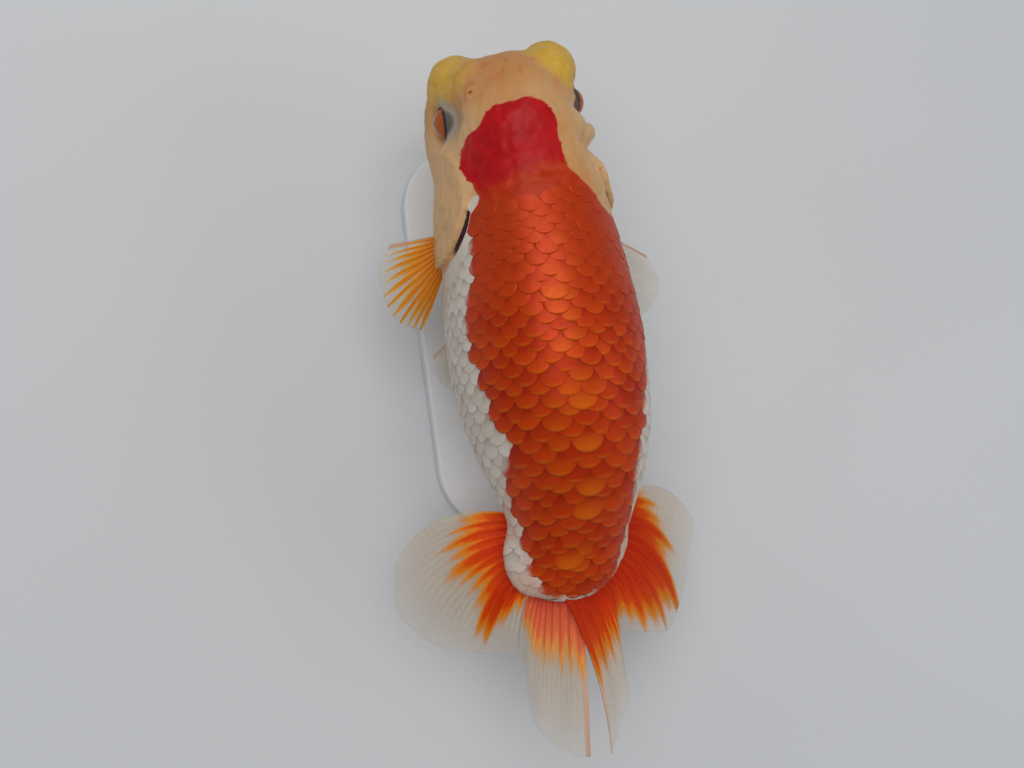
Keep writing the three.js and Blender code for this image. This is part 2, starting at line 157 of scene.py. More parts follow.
def cubic_rows(knots, values, place):
    """A smooth curve through rows and its slope; each knot's slope comes from its neighbours."""
    last = len(knots) - 1
    before = np.maximum(np.arange(last + 1) - 1, 0)
    after = np.minimum(np.arange(last + 1) + 1, last)
    slopes = (values[after] - values[before]) / (knots[after] - knots[before])
    place = np.clip(place, knots[0], knots[-1])
    i = np.clip(np.searchsorted(knots, place, "right") - 1, 0, last - 1)
    span = knots[i + 1] - knots[i]
    t = (place - knots[i]) / span
    a, b = values[i], values[i + 1]
    slope_a, slope_b = slopes[i] * span, slopes[i + 1] * span
    slope = (
        (a - b) * (6 * t**2 - 6 * t)
        + slope_a * (3 * t**2 - 4 * t + 1)
        + slope_b * (3 * t**2 - 2 * t)
    ) / span
    return hermite(t, a, slope_a, b, slope_b), slope


def section(u, column):
    return cubic_rows(SECTIONS[:, 0], SECTIONS[:, column], u)


def spine(u):
    return section(u, 4)[0]


def smoothstep(low, high, value):
    t = np.clip((value - low) / (high - low), 0, 1)
    return t * t * (3 - 2 * t)


def length_of(*parts):
    return np.sqrt(sum(part**2 for part in parts))


def value_noise(points, cell, seed):
    """Smooth seeded noise from -1 to 1, with lumps about one cell across."""
    size = 96
    lattice = np.random.default_rng(seed).uniform(-1, 1, (size, size, size))
    place = points / cell + size / 2
    low = np.floor(place).astype(int)
    t = place - low
    t = t * t * (3 - 2 * t)
    total = np.zeros(len(points))
    for corner in np.ndindex(2, 2, 2):
        weight = np.prod(np.where(corner, t, 1 - t), axis=1)
        index = (low + corner) % size
        total += weight * lattice[index[:, 0], index[:, 1], index[:, 2]]
    return total


def pebbles(points, cell, seed):
    """Rounded bumps packed at random, from 0 in the creases to 1 on the crowns."""
    size = 64
    jitter = np.random.default_rng(seed).uniform(0.1, 0.9, (size, size, size, 3))
    place = points / cell + size / 2
    low = np.floor(place).astype(int)
    nearest = np.full(len(points), 9.0)
    for shift in np.ndindex(3, 3, 3):
        cell_index = low + np.array(shift) - 1
        wrapped = cell_index % size
        centre = cell_index + jitter[wrapped[:, 0], wrapped[:, 1], wrapped[:, 2]]
        nearest = np.minimum(nearest, ((place - centre) ** 2).sum(axis=1))
    return np.clip(1 - nearest, 0, 1)


# ---- the shape of the skin, as a signed distance in millimetres ----
def blend(a, b, reach):
    """The union of two shapes with a fillet about reach wide."""
    overlap = np.maximum(reach - np.abs(a - b), 0) / reach
    return np.minimum(a, b) - overlap * overlap * reach / 4


def carve(shape, hollow, reach):
    return -blend(-shape, hollow, reach)


def ball(x, u, z, centre, radius):
    return length_of(x - centre[0], u - centre[1], z - centre[2]) - radius


def lump(x, u, z, shape, side=1):
    at, out, up, (half_x, half_u, half_z) = shape
    at = at + side * out * HEAD_TURN
    px = (x - float(spine(at)) - side * out) / half_x
    pu = (u - at) / half_u
    pz = (z - up) / half_z
    near = length_of(px, pu, pz) + TINY
    steep = length_of(px / half_x, pu / half_u, pz / half_z) + TINY
    return near * (near - 1) / steep


def body_distance(x, u, z):
    half, half_slope = section(u, 1)
    top, top_slope = section(u, 2)
    bottom, bottom_slope = section(u, 3)
    height = np.where(z > 0, top, bottom)
    height_slope = np.where(z > 0, top_slope, bottom_slope)
    a = np.abs(x - spine(u)) / half
    b = np.abs(z) / height
    round_sum = a**SECTION_POWER + b**SECTION_POWER
    snout = np.maximum(1 - u / SNOUT_ROUNDING, 0)
    stalk = np.maximum(1 - (BODY_LENGTH - u) / STALK_ROUNDING, 0)
    reach = np.sqrt(round_sum ** (2 / SECTION_POWER) + snout**2 + stalk**2) + TINY
    along = (
        -(a**2) * half_slope / half
        - b**2 * height_slope / height
        - snout / SNOUT_ROUNDING
        + stalk / STALK_ROUNDING
    )
    steep = length_of(a / half, b / height, along) + TINY
    return (reach - 1) * reach / steep


def eye_centre(side):
    at = EYE_AT + side * EYE_SIDE * HEAD_TURN
    return np.array([float(spine(at)) + side * EYE_SIDE, at, EYE_UP])


def eye_axis(side):
    return np.array([side * math.cos(EYE_DROOP), 0, -math.sin(EYE_DROOP)])


def gill_oval(x, u, z, side):
    """Distance outside the gill cover's oval, seen from the side, and its place along the oval."""
    at, length = GILL_REACH[side]
    out = side * (x - float(spine(at))) - GILL_SIDE
    pu = ((u - at) * math.cos(GILL_FLARE) + out * math.sin(GILL_FLARE)) / length
    pz = (z - GILL_UP) / GILL_HEIGHT
    near = length_of(pu, pz) + TINY
    steep = length_of(pu / length, pz / GILL_HEIGHT) + TINY
    return near * (near - 1) / steep, pu


def gill_gap(x, u, z):
    """Distance outside the gill cover on the same side of the body."""
    return np.where(x > 0, gill_oval(x, u, z, 1)[0], gill_oval(x, u, z, -1)[0])


def with_gill_cover(shape, body, x, u, z, side):
    """A plate proud at its rear edge, with a fold inside that edge and the opening behind."""
    oval, along = gill_oval(x, u, z, side)
    rear = smoothstep(0.1, 0.75, along)
    proud = GILL_PROUD * smoothstep(-0.7, 0.45, along)
    plate = np.maximum(np.maximum(body - proud, oval), -side * x)
    shape = blend(shape, plate, 3.0 - 2.5 * rear)
    fold = length_of(oval + GILL_FOLD, body - proud - 0.25) - 0.5
    shape = carve(shape, np.maximum(fold, -side * x) + 2 * (1 - smoothstep(-0.2, 0.2, along)), 0.9)
    slit = length_of(oval - SLIT_OUT, body - 0.1) - SLIT_RADIUS
    slit = np.maximum(slit, -side * x) + 3 * (1 - smoothstep(0.02, 0.2, along))
    return carve(shape, slit, 0.6)


def with_orbit(shape, x, u, z, side):
    """A dip over the eye, room in front of it, and the lids round it."""
    centre = eye_centre(side)
    outward = eye_axis(side)
    (brow_x, brow_u, brow_z), brow_radius = BROW_DIP
    brow = centre + np.array([side * brow_x, brow_u, brow_z])
    shape = carve(shape, ball(x, u, z, brow, brow_radius), 2.4)
    room_out, room = EYE_ROOM
    shape = carve(shape, ball(x, u, z, centre + room_out * outward, EYE_RADIUS + room), 1.2)
    out = (x - centre[0]) * outward[0] + (z - centre[2]) * outward[2]
    lids = np.maximum(ball(x, u, z, centre, EYE_RADIUS + LID_THICKNESS), out - EYE_RIM)
    return blend(shape, lids, 1.1)


def rod_distance(x, u, z, start, end, radius):
    """A round-ended rod from start to end."""
    axis = end - start
    px, pu, pz = x - start[0], u - start[1], z - start[2]
    t = np.clip((px * axis[0] + pu * axis[1] + pz * axis[2]) / (axis @ axis), 0, 1)
    return ball(x - t * axis[0], u - t * axis[1], z - t * axis[2], start, radius)


def lip_ring(x, u, z, up, bow):
    """A rounded lip along an oval that sticks out of the snout."""
    out = x - float(spine(0))
    near = length_of(out / LIP_REACH[0], (u - LIP_AT) / LIP_REACH[1])
    return length_of((near - 1) * 3.0, z - up - bow * np.minimum(out**2, 20)) - LIP_RADIUS


def mouth_line(x, u, z):
    """How near a place is to the line where the lips meet, 0 to 1."""
    out = np.abs(x - float(spine(0)))
    line = np.exp(-(((z - MOUTH_UP) / 0.42) ** 2))
    return line * smoothstep(MOUTH_HALF + 0.8, MOUTH_HALF - 0.6, out) * smoothstep(4.0, 2.0, u)


def with_lips(shape, x, u, z):
    shape = blend(shape, lump(x, u, z, LOWER_JAW), 1.1)
    shape = blend(shape, lump(x, u, z, UPPER_LIP), 0.9)
    shape = blend(shape, lump(x, u, z, MOUTH_FILL), 0.6)
    for up, bow in LIPS:
        shape = blend(shape, lip_ring(x, u, z, up, bow), 0.8)
    return shape + MOUTH_DEPTH * mouth_line(x, u, z)


def lobe_distance(x, u, z, side):
    """A yellow wen lobe beside the snout with its crown above it."""
    crown = lump(x, u, z, LOBE_CROWN[side], side)
    return blend(lump(x, u, z, WEN_LOBE, side), crown, CROWN_FILLET)


def knob_dips(x, u, z):
    """How far the right cheek's surface sinks on both sides of the knob."""
    sink = 0
    for at, length, depth in KNOB_DIPS:
        sink = sink + depth * np.exp(-(((u - at) / length) ** 2))
    return sink * smoothstep(-16, -9, z) * smoothstep(22, 15, z) * smoothstep(-6, -10, x)


def skin_distance(x, u, z):
    body = body_distance(x, u, z)
    shape = body + COAT_DEPTH * smoothstep(31, 37, u)
    shape = blend(shape, lump(x, u, z, WEN_CAP), CAP_FILLET)
    for side in SIDES.values():
        shape = blend(shape, lump(x, u, z, CHEEK, side), CHEEK_FILLET)
        shape = blend(shape, lump(x, u, z, TAIL_KNUCKLE[side], side), KNUCKLE_FILLET)
    shape = blend(shape, lump(x, u, z, TEMPLE), TEMPLE_FILLET)
    for side in SIDES.values():
        shape = with_gill_cover(shape, body, x, u, z, side)
    shape = shape + knob_dips(x, u, z)
    shape = blend(shape, lump(x, u, z, CHEEK_KNOB, -1), KNOB_FILLET)
    for side in SIDES.values():
        shape = with_orbit(shape, x, u, z, side)
        shape = blend(shape, lobe_distance(x, u, z, side), LOBE_FILLET[side])
        shape = blend(shape, lump(x, u, z, (*NOSTRIL_AT[side], NOSTRIL_RIM), side), 1.2)
        shape = carve(shape, lump(x, u, z, (*NOSTRIL_AT[side], NOSTRIL_PIT), side), 0.5)
    shape = with_lips(shape, x, u, z)
    for start, end, radius in FIN_ROOTS:
        shape = blend(shape, rod_distance(x, u, z, start, end, radius), FIN_ROOT_FILLET)
    return shape


def settled(points):
    """Points moved onto the skin, and the outward normals there."""
    step = 0.05
    for _ in range(3):
        value = skin_distance(*points.T)
        slope = np.column_stack([
            (skin_distance(*(points + shift).T) - value) / step for shift in np.eye(3) * step
        ])
        length = np.linalg.norm(slope, axis=1, keepdims=True) + TINY
        move = np.clip(value[:, None] / length, -1.2, 1.2)
        points = points - move * slope / length
    return points, slope / length


def edge_crossings(values, axes, axis):
    """Where the grid's edges along one axis cross zero, the four cells round each such edge, and
    whether its lower end is inside."""
    inside = np.moveaxis(values < 0, axis, 0)
    found = np.argwhere(inside[:-1] != inside[1:])
    index = np.empty_like(found)
    index[:, [axis] + [other for other in range(3) if other != axis]] = found
    beyond = index.copy()
    beyond[:, axis] += 1
    start = values[tuple(index.T)]
    end = values[tuple(beyond.T)]
    place = np.column_stack([axes[k][index[:, k]] for k in range(3)])
    place[:, axis] += start / (start - end) * (axes[axis][beyond[:, axis]] - place[:, axis])
    cells = []
    for back_one, back_two in ((0, 0), (1, 0), (1, 1), (0, 1)):
        cell = index.copy()
        cell[:, (axis + 1) % 3] -= back_one
        cell[:, (axis + 2) % 3] -= back_two
        cells.append(np.ravel_multi_index(cell.T, values.shape))
    return np.column_stack(cells), place, start < 0


def surface_quads(values, axes):
    """Quads round the zero level of values on a grid, by the method of surface nets."""
    rows = zip(*(edge_crossings(values, axes, axis) for axis in range(3)))
    keys, places, flips = (np.concatenate(row) for row in rows)
    cells, vertex = np.unique(keys, return_inverse=True)
    vertex = vertex.reshape(keys.shape)
    count = np.bincount(vertex.ravel())
    points = np.column_stack([
        np.bincount(vertex.ravel(), np.repeat(places[:, k], 4)) / count for k in range(3)
    ])
    return points, np.where(flips[:, None], vertex, vertex[:, ::-1])


# ---- fins: the same roots, tips and bows as the solids ----
def curve_through(points, t):
    """A uniform Catmull-Rom curve through points, from t = 0 to t = 1."""
    points = np.asarray(points, float)
    ends = [2 * points[0] - points[1], 2 * points[-1] - points[-2]]
    row = np.vstack([ends[0], points, ends[1]])
    spans = len(points) - 1
    place = np.clip(np.asarray(t, float) * spans, 0, spans)
    i = np.minimum(place.astype(int), spans - 1)
    s = (place - i)[..., None]
    before, a, b, after = row[i], row[i + 1], row[i + 2], row[i + 3]
    return hermite(s, a, (b - before) / 2, b, (after - a) / 2)


# Places are out from the spine, behind the snout and above the axis.
TAIL_DROOP = {1: 28.0, -1: 31.0}
TAIL_ROOT = [
    (0.4, 120.5, 1), (5.6, 119, -1.2), (7.8, 114.5, -1.8), (9, 109, -3), (9.8, 102.5, -5.4),
]
TAIL_TIP = [
    (0, 157, 3), (8.6, 153.5, 2.6), (13, 145, 1.6), (14, 133, 0.6),
    (24, 132.4, 0), (34, 129, -0.6), (41, 121, -1.2), (43, 111.5, -1.6),
]
TAIL_FORK = 3 / 7
INNER_RAY = {1: (1.2, 0.0), -1: (4.4, 4.0)}
RAY_ARCH = 2.2
RAY_SPREAD = 5.0
LEADING_SWEEP = 13.0
# Where the inner roots move so that the right half lies over the left half.
CROSSING = {1: (-3.0, 0.0, -1.8), -1: (2.2, 0.0, 1.5)}
CROSSING_END = 0.3
# How much longer the right half's middle rays are: share, place across the fan and width.
TAIL_REACH = (0.12, 0.67, 0.14)
PECTORAL = {
    1: (
        [(16.4, 36.8, -9.5), (16.8, 40.2, -11), (16.6, 43.4, -12.5)],
        [(28.6, 37.2, -13), (32, 42.4, -15), (31.4, 49.8, -17), (27.8, 55.6, -18.6),
         (23, 57.2, -19.4)],
    ),
    -1: (
        [(17, 38.8, -8.5), (17, 41.6, -10.5), (16.6, 44.4, -12.5)],
        [(30.2, 46.6, -10.5), (33.2, 51.4, -13), (33.4, 56, -16), (30.6, 60, -19),
         (26.4, 61, -21.5)],
    ),
}
PECTORAL_ARCH = 1.6
PELVIC = (
    [(9.6, 55, -24.6), (9, 57.5, -25.2), (7.6, 59.5, -26)],
    [(20, 63, -31), (19.6, 68.5, -33), (16, 72.5, -34.4), (11, 73, -34.2)],
)
PELVIC_ARCH = 0.6
ANAL = (
    [(3.2, 93.5, -17.4), (3.6, 97, -15), (3.6, 100.5, -12.8)],
    [(6.4, 100, -29), (7.6, 105.5, -29), (8, 109.5, -25.5), (7.4, 110.5, -21)],
)
ANAL_ARCH = 0.0


def beside_spine(rows, side, droop=0.0):
    rows = np.asarray(rows, float)
    out, at, up = rows.T
    return np.column_stack([
        spine(at) + side * out * math.cos(droop), at, up - out * math.sin(droop)
    ])


def bezier(root, bow, tip, r):
    return root * (1 - r) ** 2 + bow * 2 * r * (1 - r) + tip * r**2


def tail_point(side, t, r):
    droop = math.radians(TAIL_DROOP[side])
    tip_out, bow_out = INNER_RAY[side]
    tips = [(max(out, tip_out), at, up) for out, at, up in TAIL_TIP]
    root = curve_through(beside_spine(TAIL_ROOT, side, droop), t)
    tip = curve_through(beside_spine(tips, side, droop), t)
    push = np.stack([
        side * (RAY_SPREAD * t + bow_out * (1 - t) ** 3),
        -LEADING_SWEEP * t**1.5,
        np.full_like(t, RAY_ARCH),
    ], axis=-1)
    crossing = np.maximum(1 - t / CROSSING_END, 0)[..., None] ** 2
    root = root + crossing * np.array(CROSSING[side])
    if side < 0:
        reach, middle, width = TAIL_REACH
        r = r * (1 + reach * np.exp(-(((t - middle) / width) ** 2)))
    return bezier(root, (root + tip) / 2 + push, tip, r[..., None])


def paired_point(rows, arch, side, t, r):
    root = curve_through(beside_spine(rows[0], side), t)
    tip = curve_through(beside_spine(rows[1], side), t)
    bow = (root + tip) / 2 + np.array([0, 0, arch])
    return bezier(root, bow, tip, r[..., None])


def root_rods():
    """Round flesh along the roots of the fins: start, end and radius."""
    rods = []
    for side in SIDES.values():
        for rows, radius in ((PECTORAL[side], 1.3), (PELVIC, 1.1), (ANAL, 0.9)):
            root = beside_spine(rows[0], side)
            rods += [(root[i], root[i + 1], radius) for i in range(len(root) - 1)]
    return rods


FIN_ROOTS = root_rods()

# ---- markings, shared by the skin and the scales ----
# The edges of the red back: distance behind the snout and angle from straight up, in degrees.
LEFT_EDGE = [
    (31, 36), (32.8, 35), (34.4, 38), (36, 43.5), (38.2, 46.5), (41, 44), (46, 44), (52, 49),
    (57.5, 56), (64, 55), (69, 51), (75, 49), (79, 46), (85, 41), (88, 42), (91, 53),
    (95, 63), (99, 65), (118, 63),
]
RIGHT_EDGE = [
    (29.6, -10), (33.4, -19), (35.5, -26), (37.5, -32), (39.5, -46), (42, -66), (48, -74),
    (62, -70), (73, -45), (83.5, -39), (88.6, -36), (94, -39), (99, -44), (105, -58), (114, -65),
]
RED_START = 28.5
RED_END = 119.5
RIDGE_X = -0.8  # where the ridge of the back runs
# The crimson cap as overlapping rounds: sideways place, distance behind the snout, radius.
CAP_ROUNDS = [
    (1.6, 20.4, 5.8), (5.5, 21.0, 6.3), (9.9, 23.4, 5.0),
    (10.6, 26.2, 4.6), (9.4, 30.4, 3.6), (2.4, 26.4, 7.0),
]
CAP_FLOOR = 10.5  # the cap stays above this height
# Single bright scales along the ridge: distance behind the snout and angle.
GOLD_SCALES = [(42.5, 0), (54.6, 5), (74.3, 0), (85.7, 0), (94.2, -4), (98.4, 0), (110.2, 21)]
# The hood's rear edge: angle from straight up and distance behind the snout.
HOOD_EDGE = [
    (-180, 33), (-80, 34), (-60, 37), (-45, 38.5), (-32, 37.5), (-26, 35.3), (-19, 33.2),
    (-10, 31.5), (0, 31), (40, 31.5), (47, 34), (80, 34), (180, 33),
]


def back_angle(x, z):
    return np.degrees(np.arctan2(x - RIDGE_X, z))


def red_depth(x, u, z):
    """How far inside the red of the back a point lies, in millimetres; negative outside."""
    angle = back_angle(x, z)
    left = np.interp(u, *np.transpose(LEFT_EDGE))
    right = np.interp(u, *np.transpose(RIGHT_EDGE))
    arc = np.radians(np.hypot(x - RIDGE_X, z))
    side = np.minimum(left - angle, angle - right) * arc
    back = np.minimum(blend(side, u - RED_START, 3.0), RED_END - u)
    return -blend(-back, -cap_depth(x, u, z), 3.0)


def behind_hood(x, u, z, margin=0.0):
    """Distance behind the hood's rear edge and more than a margin outside the gill covers."""
    edge = np.interp(back_angle(x, z), *np.transpose(HOOD_EDGE))
    return np.minimum(u - edge, gill_gap(x, u, z) - margin)


def cap_depth(x, u, z):
    """How far inside the crimson cap a point lies."""
    depth = np.full(np.shape(x), -99.0)
    for centre_x, centre_u, radius in CAP_ROUNDS:
        depth = -blend(-depth, np.hypot(x - centre_x, u - centre_u) - radius, 0.8)
    return blend(depth, z - CAP_FLOOR, 5.0)


def throat_share(u, z):
    """How far a place belongs to the cream throat, 0 to 1."""
    return smoothstep(46, 36, u) * smoothstep(-6, -15, z)


def blush_share(u):
    """How far a place belongs to the blush at the root of the tail, 0 to 1."""
    return smoothstep(98, 106, u)


# ---- meshes ----
def make_piece(name, points, faces, material, attributes=None, uv=None, smooth=True):
    """A mesh object from points in metres and faces with the same number of corners each."""
    faces = np.asarray(faces)
    mesh = bpy.data.meshes.new(name)
    mesh.vertices.add(len(points))
    mesh.vertices.foreach_set("co", np.asarray(points, np.float32).ravel())
    mesh.loops.add(faces.size)
    mesh.loops.foreach_set("vertex_index", faces.astype(np.int32).ravel())
    mesh.polygons.add(len(faces))
    starts = np.arange(0, faces.size, faces.shape[1], dtype=np.int32)
    mesh.polygons.foreach_set("loop_start", starts)
    mesh.update(calc_edges=True)
    mesh.polygons.foreach_set("use_smooth", np.full(len(faces), smooth))
    for key, values in (attributes or {}).items():
        layer = mesh.attributes.new(key, "FLOAT", "POINT")
        layer.data.foreach_set("value", np.asarray(values, np.float32))
    if uv is not None:
        layer = mesh.uv_layers.new(name="OFBake")
        layer.data.foreach_set("uv", np.asarray(uv, np.float32)[faces.ravel()].ravel())
    mesh.materials.append(material)
    mesh.validate()
    piece = bpy.data.objects.new(name, mesh)
    bpy.context.scene.collection.objects.link(piece)
    return piece


def place_piece(piece, slot, *nodes):
    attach(piece, "root")
    if nodes:
        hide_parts(*nodes)


def ring_quads(count, rings):
    """Quads between closed rings of count points each, one after the other."""
    index = np.arange(count)
    after = (index + 1) % count
    strip = np.column_stack([index, after, after + count, index + count])
    return np.concatenate([strip + k * count for k in range(rings - 1)])


def plate_faces(rows, columns):
    """Quads of one closed thin plate: a top grid, a bottom grid and the rim between them."""
    count = rows * columns
    index = np.arange(count).reshape(rows, columns)
    corners = [index[:-1, :-1], index[1:, :-1], index[1:, 1:], index[:-1, 1:]]
    top = np.stack(corners, -1).reshape(-1, 4)
    loop = np.concatenate([index[0, :-1], index[:-1, -1], index[-1, :0:-1], index[:0:-1, 0]])
    after = np.roll(loop, -1)
    rim = np.column_stack([loop, after, after + count, loop + count])
    return np.concatenate([top, top[:, ::-1] + count, rim])


def capped_piece(name, points, count, material):
    """A closed piece from a stack of rings with count points each."""
    piece = make_piece(name, points, ring_quads(count, len(points) // count), material)
    work = bmesh.new()
    work.from_mesh(piece.data)
    vertices = list(work.verts)
    work.faces.new(vertices[:count][::-1])
    work.faces.new(vertices[-count:])
    work.to_mesh(piece.data)
    work.free()
    return piece


# ---- material nodes ----
class Shader:
    """A material's node tree, with short ways to add the nodes used here."""

    def __init__(self, name):
        self.material = bpy.data.materials.new(name)
        self.material.use_nodes = True
        self.tree = self.material.node_tree
        self.surface = self.tree.nodes["Principled BSDF"]
        self.coordinates = self.tree.nodes.new("ShaderNodeTexCoord").outputs["Object"]

    def link(self, source, socket):
        if isinstance(source, bpy.types.NodeSocket):
            self.tree.links.new(source, socket)
        elif source is not None:
            socket.default_value = source

    def attribute(self, name):
        node = self.tree.nodes.new("ShaderNodeAttribute")
        node.attribute_name = name
        return node.outputs["Fac"]

    def noise(self, size, detail=2.0, roughness=0.5, distortion=0.0):
        """Noise from 0 to 1 with lumps of about size millimetres."""
        node = self.tree.nodes.new("ShaderNodeTexNoise")
        self.link(self.coordinates, node.inputs["Vector"])
        node.inputs["Scale"].default_value = 0.6 / (size * MM)
        node.inputs["Detail"].default_value = detail
        node.inputs["Roughness"].default_value = roughness
        node.inputs["Distortion"].default_value = distortion
        return node.outputs["Fac"]

    def math(self, operation, *values):
        node = self.tree.nodes.new("ShaderNodeMath")
        node.operation = operation
        for socket, value in zip(node.inputs, values):
            self.link(value, socket)
        return node.outputs["Value"]

    def times(self, a, b):
        return self.math("MULTIPLY", a, b)

    def plus(self, a, b):
        return self.math("ADD", a, b)

    def scaled(self, value, factor, start):
        """start plus value times factor."""
        return self.math("MULTIPLY_ADD", value, factor, start)

    def swing(self, noise, width):
        """Noise from 0 to 1 stretched over a width round 0."""
        return self.scaled(noise, width, -width / 2)

    def ramp(self, value, low, high, start=0.0, end=1.0):
        node = self.tree.nodes.new("ShaderNodeMapRange")
        node.interpolation_type = "SMOOTHSTEP"
        keys = ("Value", "From Min", "From Max", "To Min", "To Max")
        for key, number in zip(keys, (value, low, high, start, end)):
            self.link(number, node.inputs[key])
        return node.outputs["Result"]

    def mix(self, factor, a, b):
        node = self.tree.nodes.new("ShaderNodeMix")
        node.data_type = "RGBA"
        self.link(factor, node.inputs[0])
        for value, socket in ((a, node.inputs[6]), (b, node.inputs[7])):
            colour = value if isinstance(value, bpy.types.NodeSocket) else (*value, 1)
            self.link(colour, socket)
        return node.outputs[2]

    def bump(self, height, depth):
        """Bumps of height 0 to 1 that stand depth millimetres high."""
        node = self.tree.nodes.new("ShaderNodeBump")
        node.inputs["Distance"].default_value = depth * MM
        self.link(height, node.inputs["Height"])
        return node.outputs["Normal"]

    def dull(self, grain, low, high):
        """A roughness between two values, as the grain goes."""
        return self.ramp(grain, 0.2, 0.8, low, high)

    def finish(self, colour, roughness, **inputs):
        """Sets the surface's sockets by name and gives the material."""
        self.link(colour, self.surface.inputs["Base Color"])
        self.link(roughness, self.surface.inputs["Roughness"])
        for key, value in inputs.items():
            name = key.replace("_", " ").title().replace("Ior", "IOR")
            self.link(value, self.surface.inputs[name])
        return self.material


# Colours as linear red, green and blue.
CREAM = (0.57, 0.255, 0.085)
PALE_CREAM = (0.60, 0.33, 0.14)
# The cheeks' paler cream: partly their own colour, partly painted light lifting the shade on the
# head's sides.
CHEEK_CREAM_AND_PAINTED_LIGHT = (0.69, 0.43, 0.21)
LIP_PINK = (0.62, 0.22, 0.12)
BLUSH = (0.70, 0.44, 0.34)
PEACH = (0.56, 0.15, 0.035)
LOBE_YELLOW = (0.62, 0.36, 0.030)
LOBE_PALE = (0.68, 0.44, 0.085)
CRIMSON = (0.50, 0.004, 0.006)
DEEP_CRIMSON = (0.42, 0.003, 0.005)
RED_ORANGE = (0.45, 0.021, 0.0005)
# Painted shade at the hidden roots of the red scales.
ROOT_SHADE_RED = (0.32, 0.011, 0.0004)
ORANGE = (0.62, 0.056, 0.0006)
GOLD = (0.70, 0.125, 0.002)
NAPE = (0.52, 0.046, 0.006)
PEARL = (0.59, 0.50, 0.41)
PEARL_WHITE = (0.76, 0.70, 0.62)
# Painted shade at the hidden roots of the pearly scales.
PEARL_ROOT_SHADE = (0.42, 0.34, 0.29)
EYE_GREY = (0.30, 0.29, 0.27)
# Painted shade in the hollow round each eye.
EYE_SOCKET_SHADE = (0.03, 0.03, 0.035)
# Painted shade in the gill openings and along the line where the lips meet.
OPENING_SHADE_PURPLE = (0.05, 0.015, 0.02)
IRIS_DEEP = (0.42, 0.065, 0.006)
IRIS_ORANGE = (0.62, 0.14, 0.014)
IRIS_BLOTCH = (0.24, 0.035, 0.01)
IRIS_RING = (0.7, 0.28, 0.04)
GLOBE_DARK = (0.03, 0.02, 0.02)
PUPIL_BLACK = (0.004, 0.004, 0.005)
MEMBRANE = (0.56, 0.45, 0.31)
RAY_CREAM = (0.65, 0.52, 0.37)
FIRST_RAY = (0.70, 0.40, 0.27)
# Fins: the colour at the root, further out and along the ragged edge of the coloured part.
FIN_RED = [(0.52, 0.020, 0.0004), (0.66, 0.058, 0.0005), (0.76, 0.27, 0.012)]
FIN_PINK = [(0.58, 0.065, 0.032), (0.66, 0.13, 0.045), (0.76, 0.34, 0.07)]
FIN_ORANGE = [(0.69, 0.21, 0.018), (0.74, 0.27, 0.026), (0.76, 0.42, 0.09)]
FIN_PALE = [(0.66, 0.55, 0.42), (0.68, 0.56, 0.42), (0.66, 0.54, 0.40)]


def wen_colours(s, broad, fine, wander):
    """The hood's cream, with peach streaks and pink lips, without and with the lobes."""
    cream = s.mix(s.ramp(broad, 0.35, 0.7), CREAM, PALE_CREAM)
    # Paler low on the cheeks: partly their own cream, partly painted light against the shade on the
    # sides.
    cream = s.mix(s.times(s.attribute("cheek"), 0.8), cream, CHEEK_CREAM_AND_PAINTED_LIGHT)
    streaks = s.ramp(s.noise(3.4, 4, 0.62, 1.2), 0.5, 0.75)
    cream = s.mix(s.times(streaks, s.attribute("face")), cream, PEACH)
    cream = s.mix(s.times(s.attribute("lip"), 0.5), cream, LIP_PINK)
    lobe = s.ramp(s.plus(s.attribute("lobe"), wander), -2.2, 0.4)
    yellow = s.mix(s.ramp(fine, 0.3, 0.8), LOBE_YELLOW, LOBE_PALE)
    return cream, s.mix(lobe, cream, yellow)


def flank_colour(s, broad, cream):
    flank = s.mix(s.ramp(broad, 0.3, 0.75), PEARL, PEARL_WHITE)
    flank = s.mix(s.times(s.attribute("blush"), 0.7), flank, BLUSH)
    return s.mix(s.attribute("throat"), flank, cream)


def with_red(s, colour, fine, wander):
    """Adds the red of the back and the crimson cap, which turns into it towards the back."""
    red = s.mix(s.ramp(fine, 0.3, 0.7), RED_ORANGE, NAPE)
    red_edge = s.plus(s.attribute("red"), s.times(wander, 0.5))
    colour = s.mix(s.ramp(red_edge, -0.15, 0.35), colour, red)
    crimson = s.mix(s.ramp(s.noise(2.0, 3), 0.3, 0.7), DEEP_CRIMSON, CRIMSON)
    to_back = s.plus(s.attribute("behind"), s.times(wander, 1.5))
    crimson = s.mix(s.ramp(to_back, -1.8, 2.6), crimson, red)
    crumbs = s.swing(s.noise(1.1, 3, 0.6), 1.6)
    cap_edge = s.plus(s.attribute("cap"), s.scaled(wander, 0.5, crumbs))
    return s.mix(s.ramp(cap_edge, -0.15, 0.25), colour, crimson)


def with_hollows(s, colour):
    """Adds grey over the eyes and painted shade round their edges, in the gill openings and the
    mouth.
    """
    eye = s.attribute("eye")
    grey = s.times(s.ramp(eye, 0.5, 3.4, 0.8, 0.0), s.attribute("brow"))
    colour = s.mix(grey, colour, EYE_GREY)
    # Painted shade round each eye, darkest right next to the eyeball.
    colour = s.mix(s.ramp(eye, 0.2, 0.6, 0.85, 0.0), colour, EYE_SOCKET_SHADE)
    # Painted shade in the gill openings and along the mouth.
    return s.mix(s.ramp(s.attribute("slit"), 0.35, 0.9), colour, OPENING_SHADE_PURPLE)


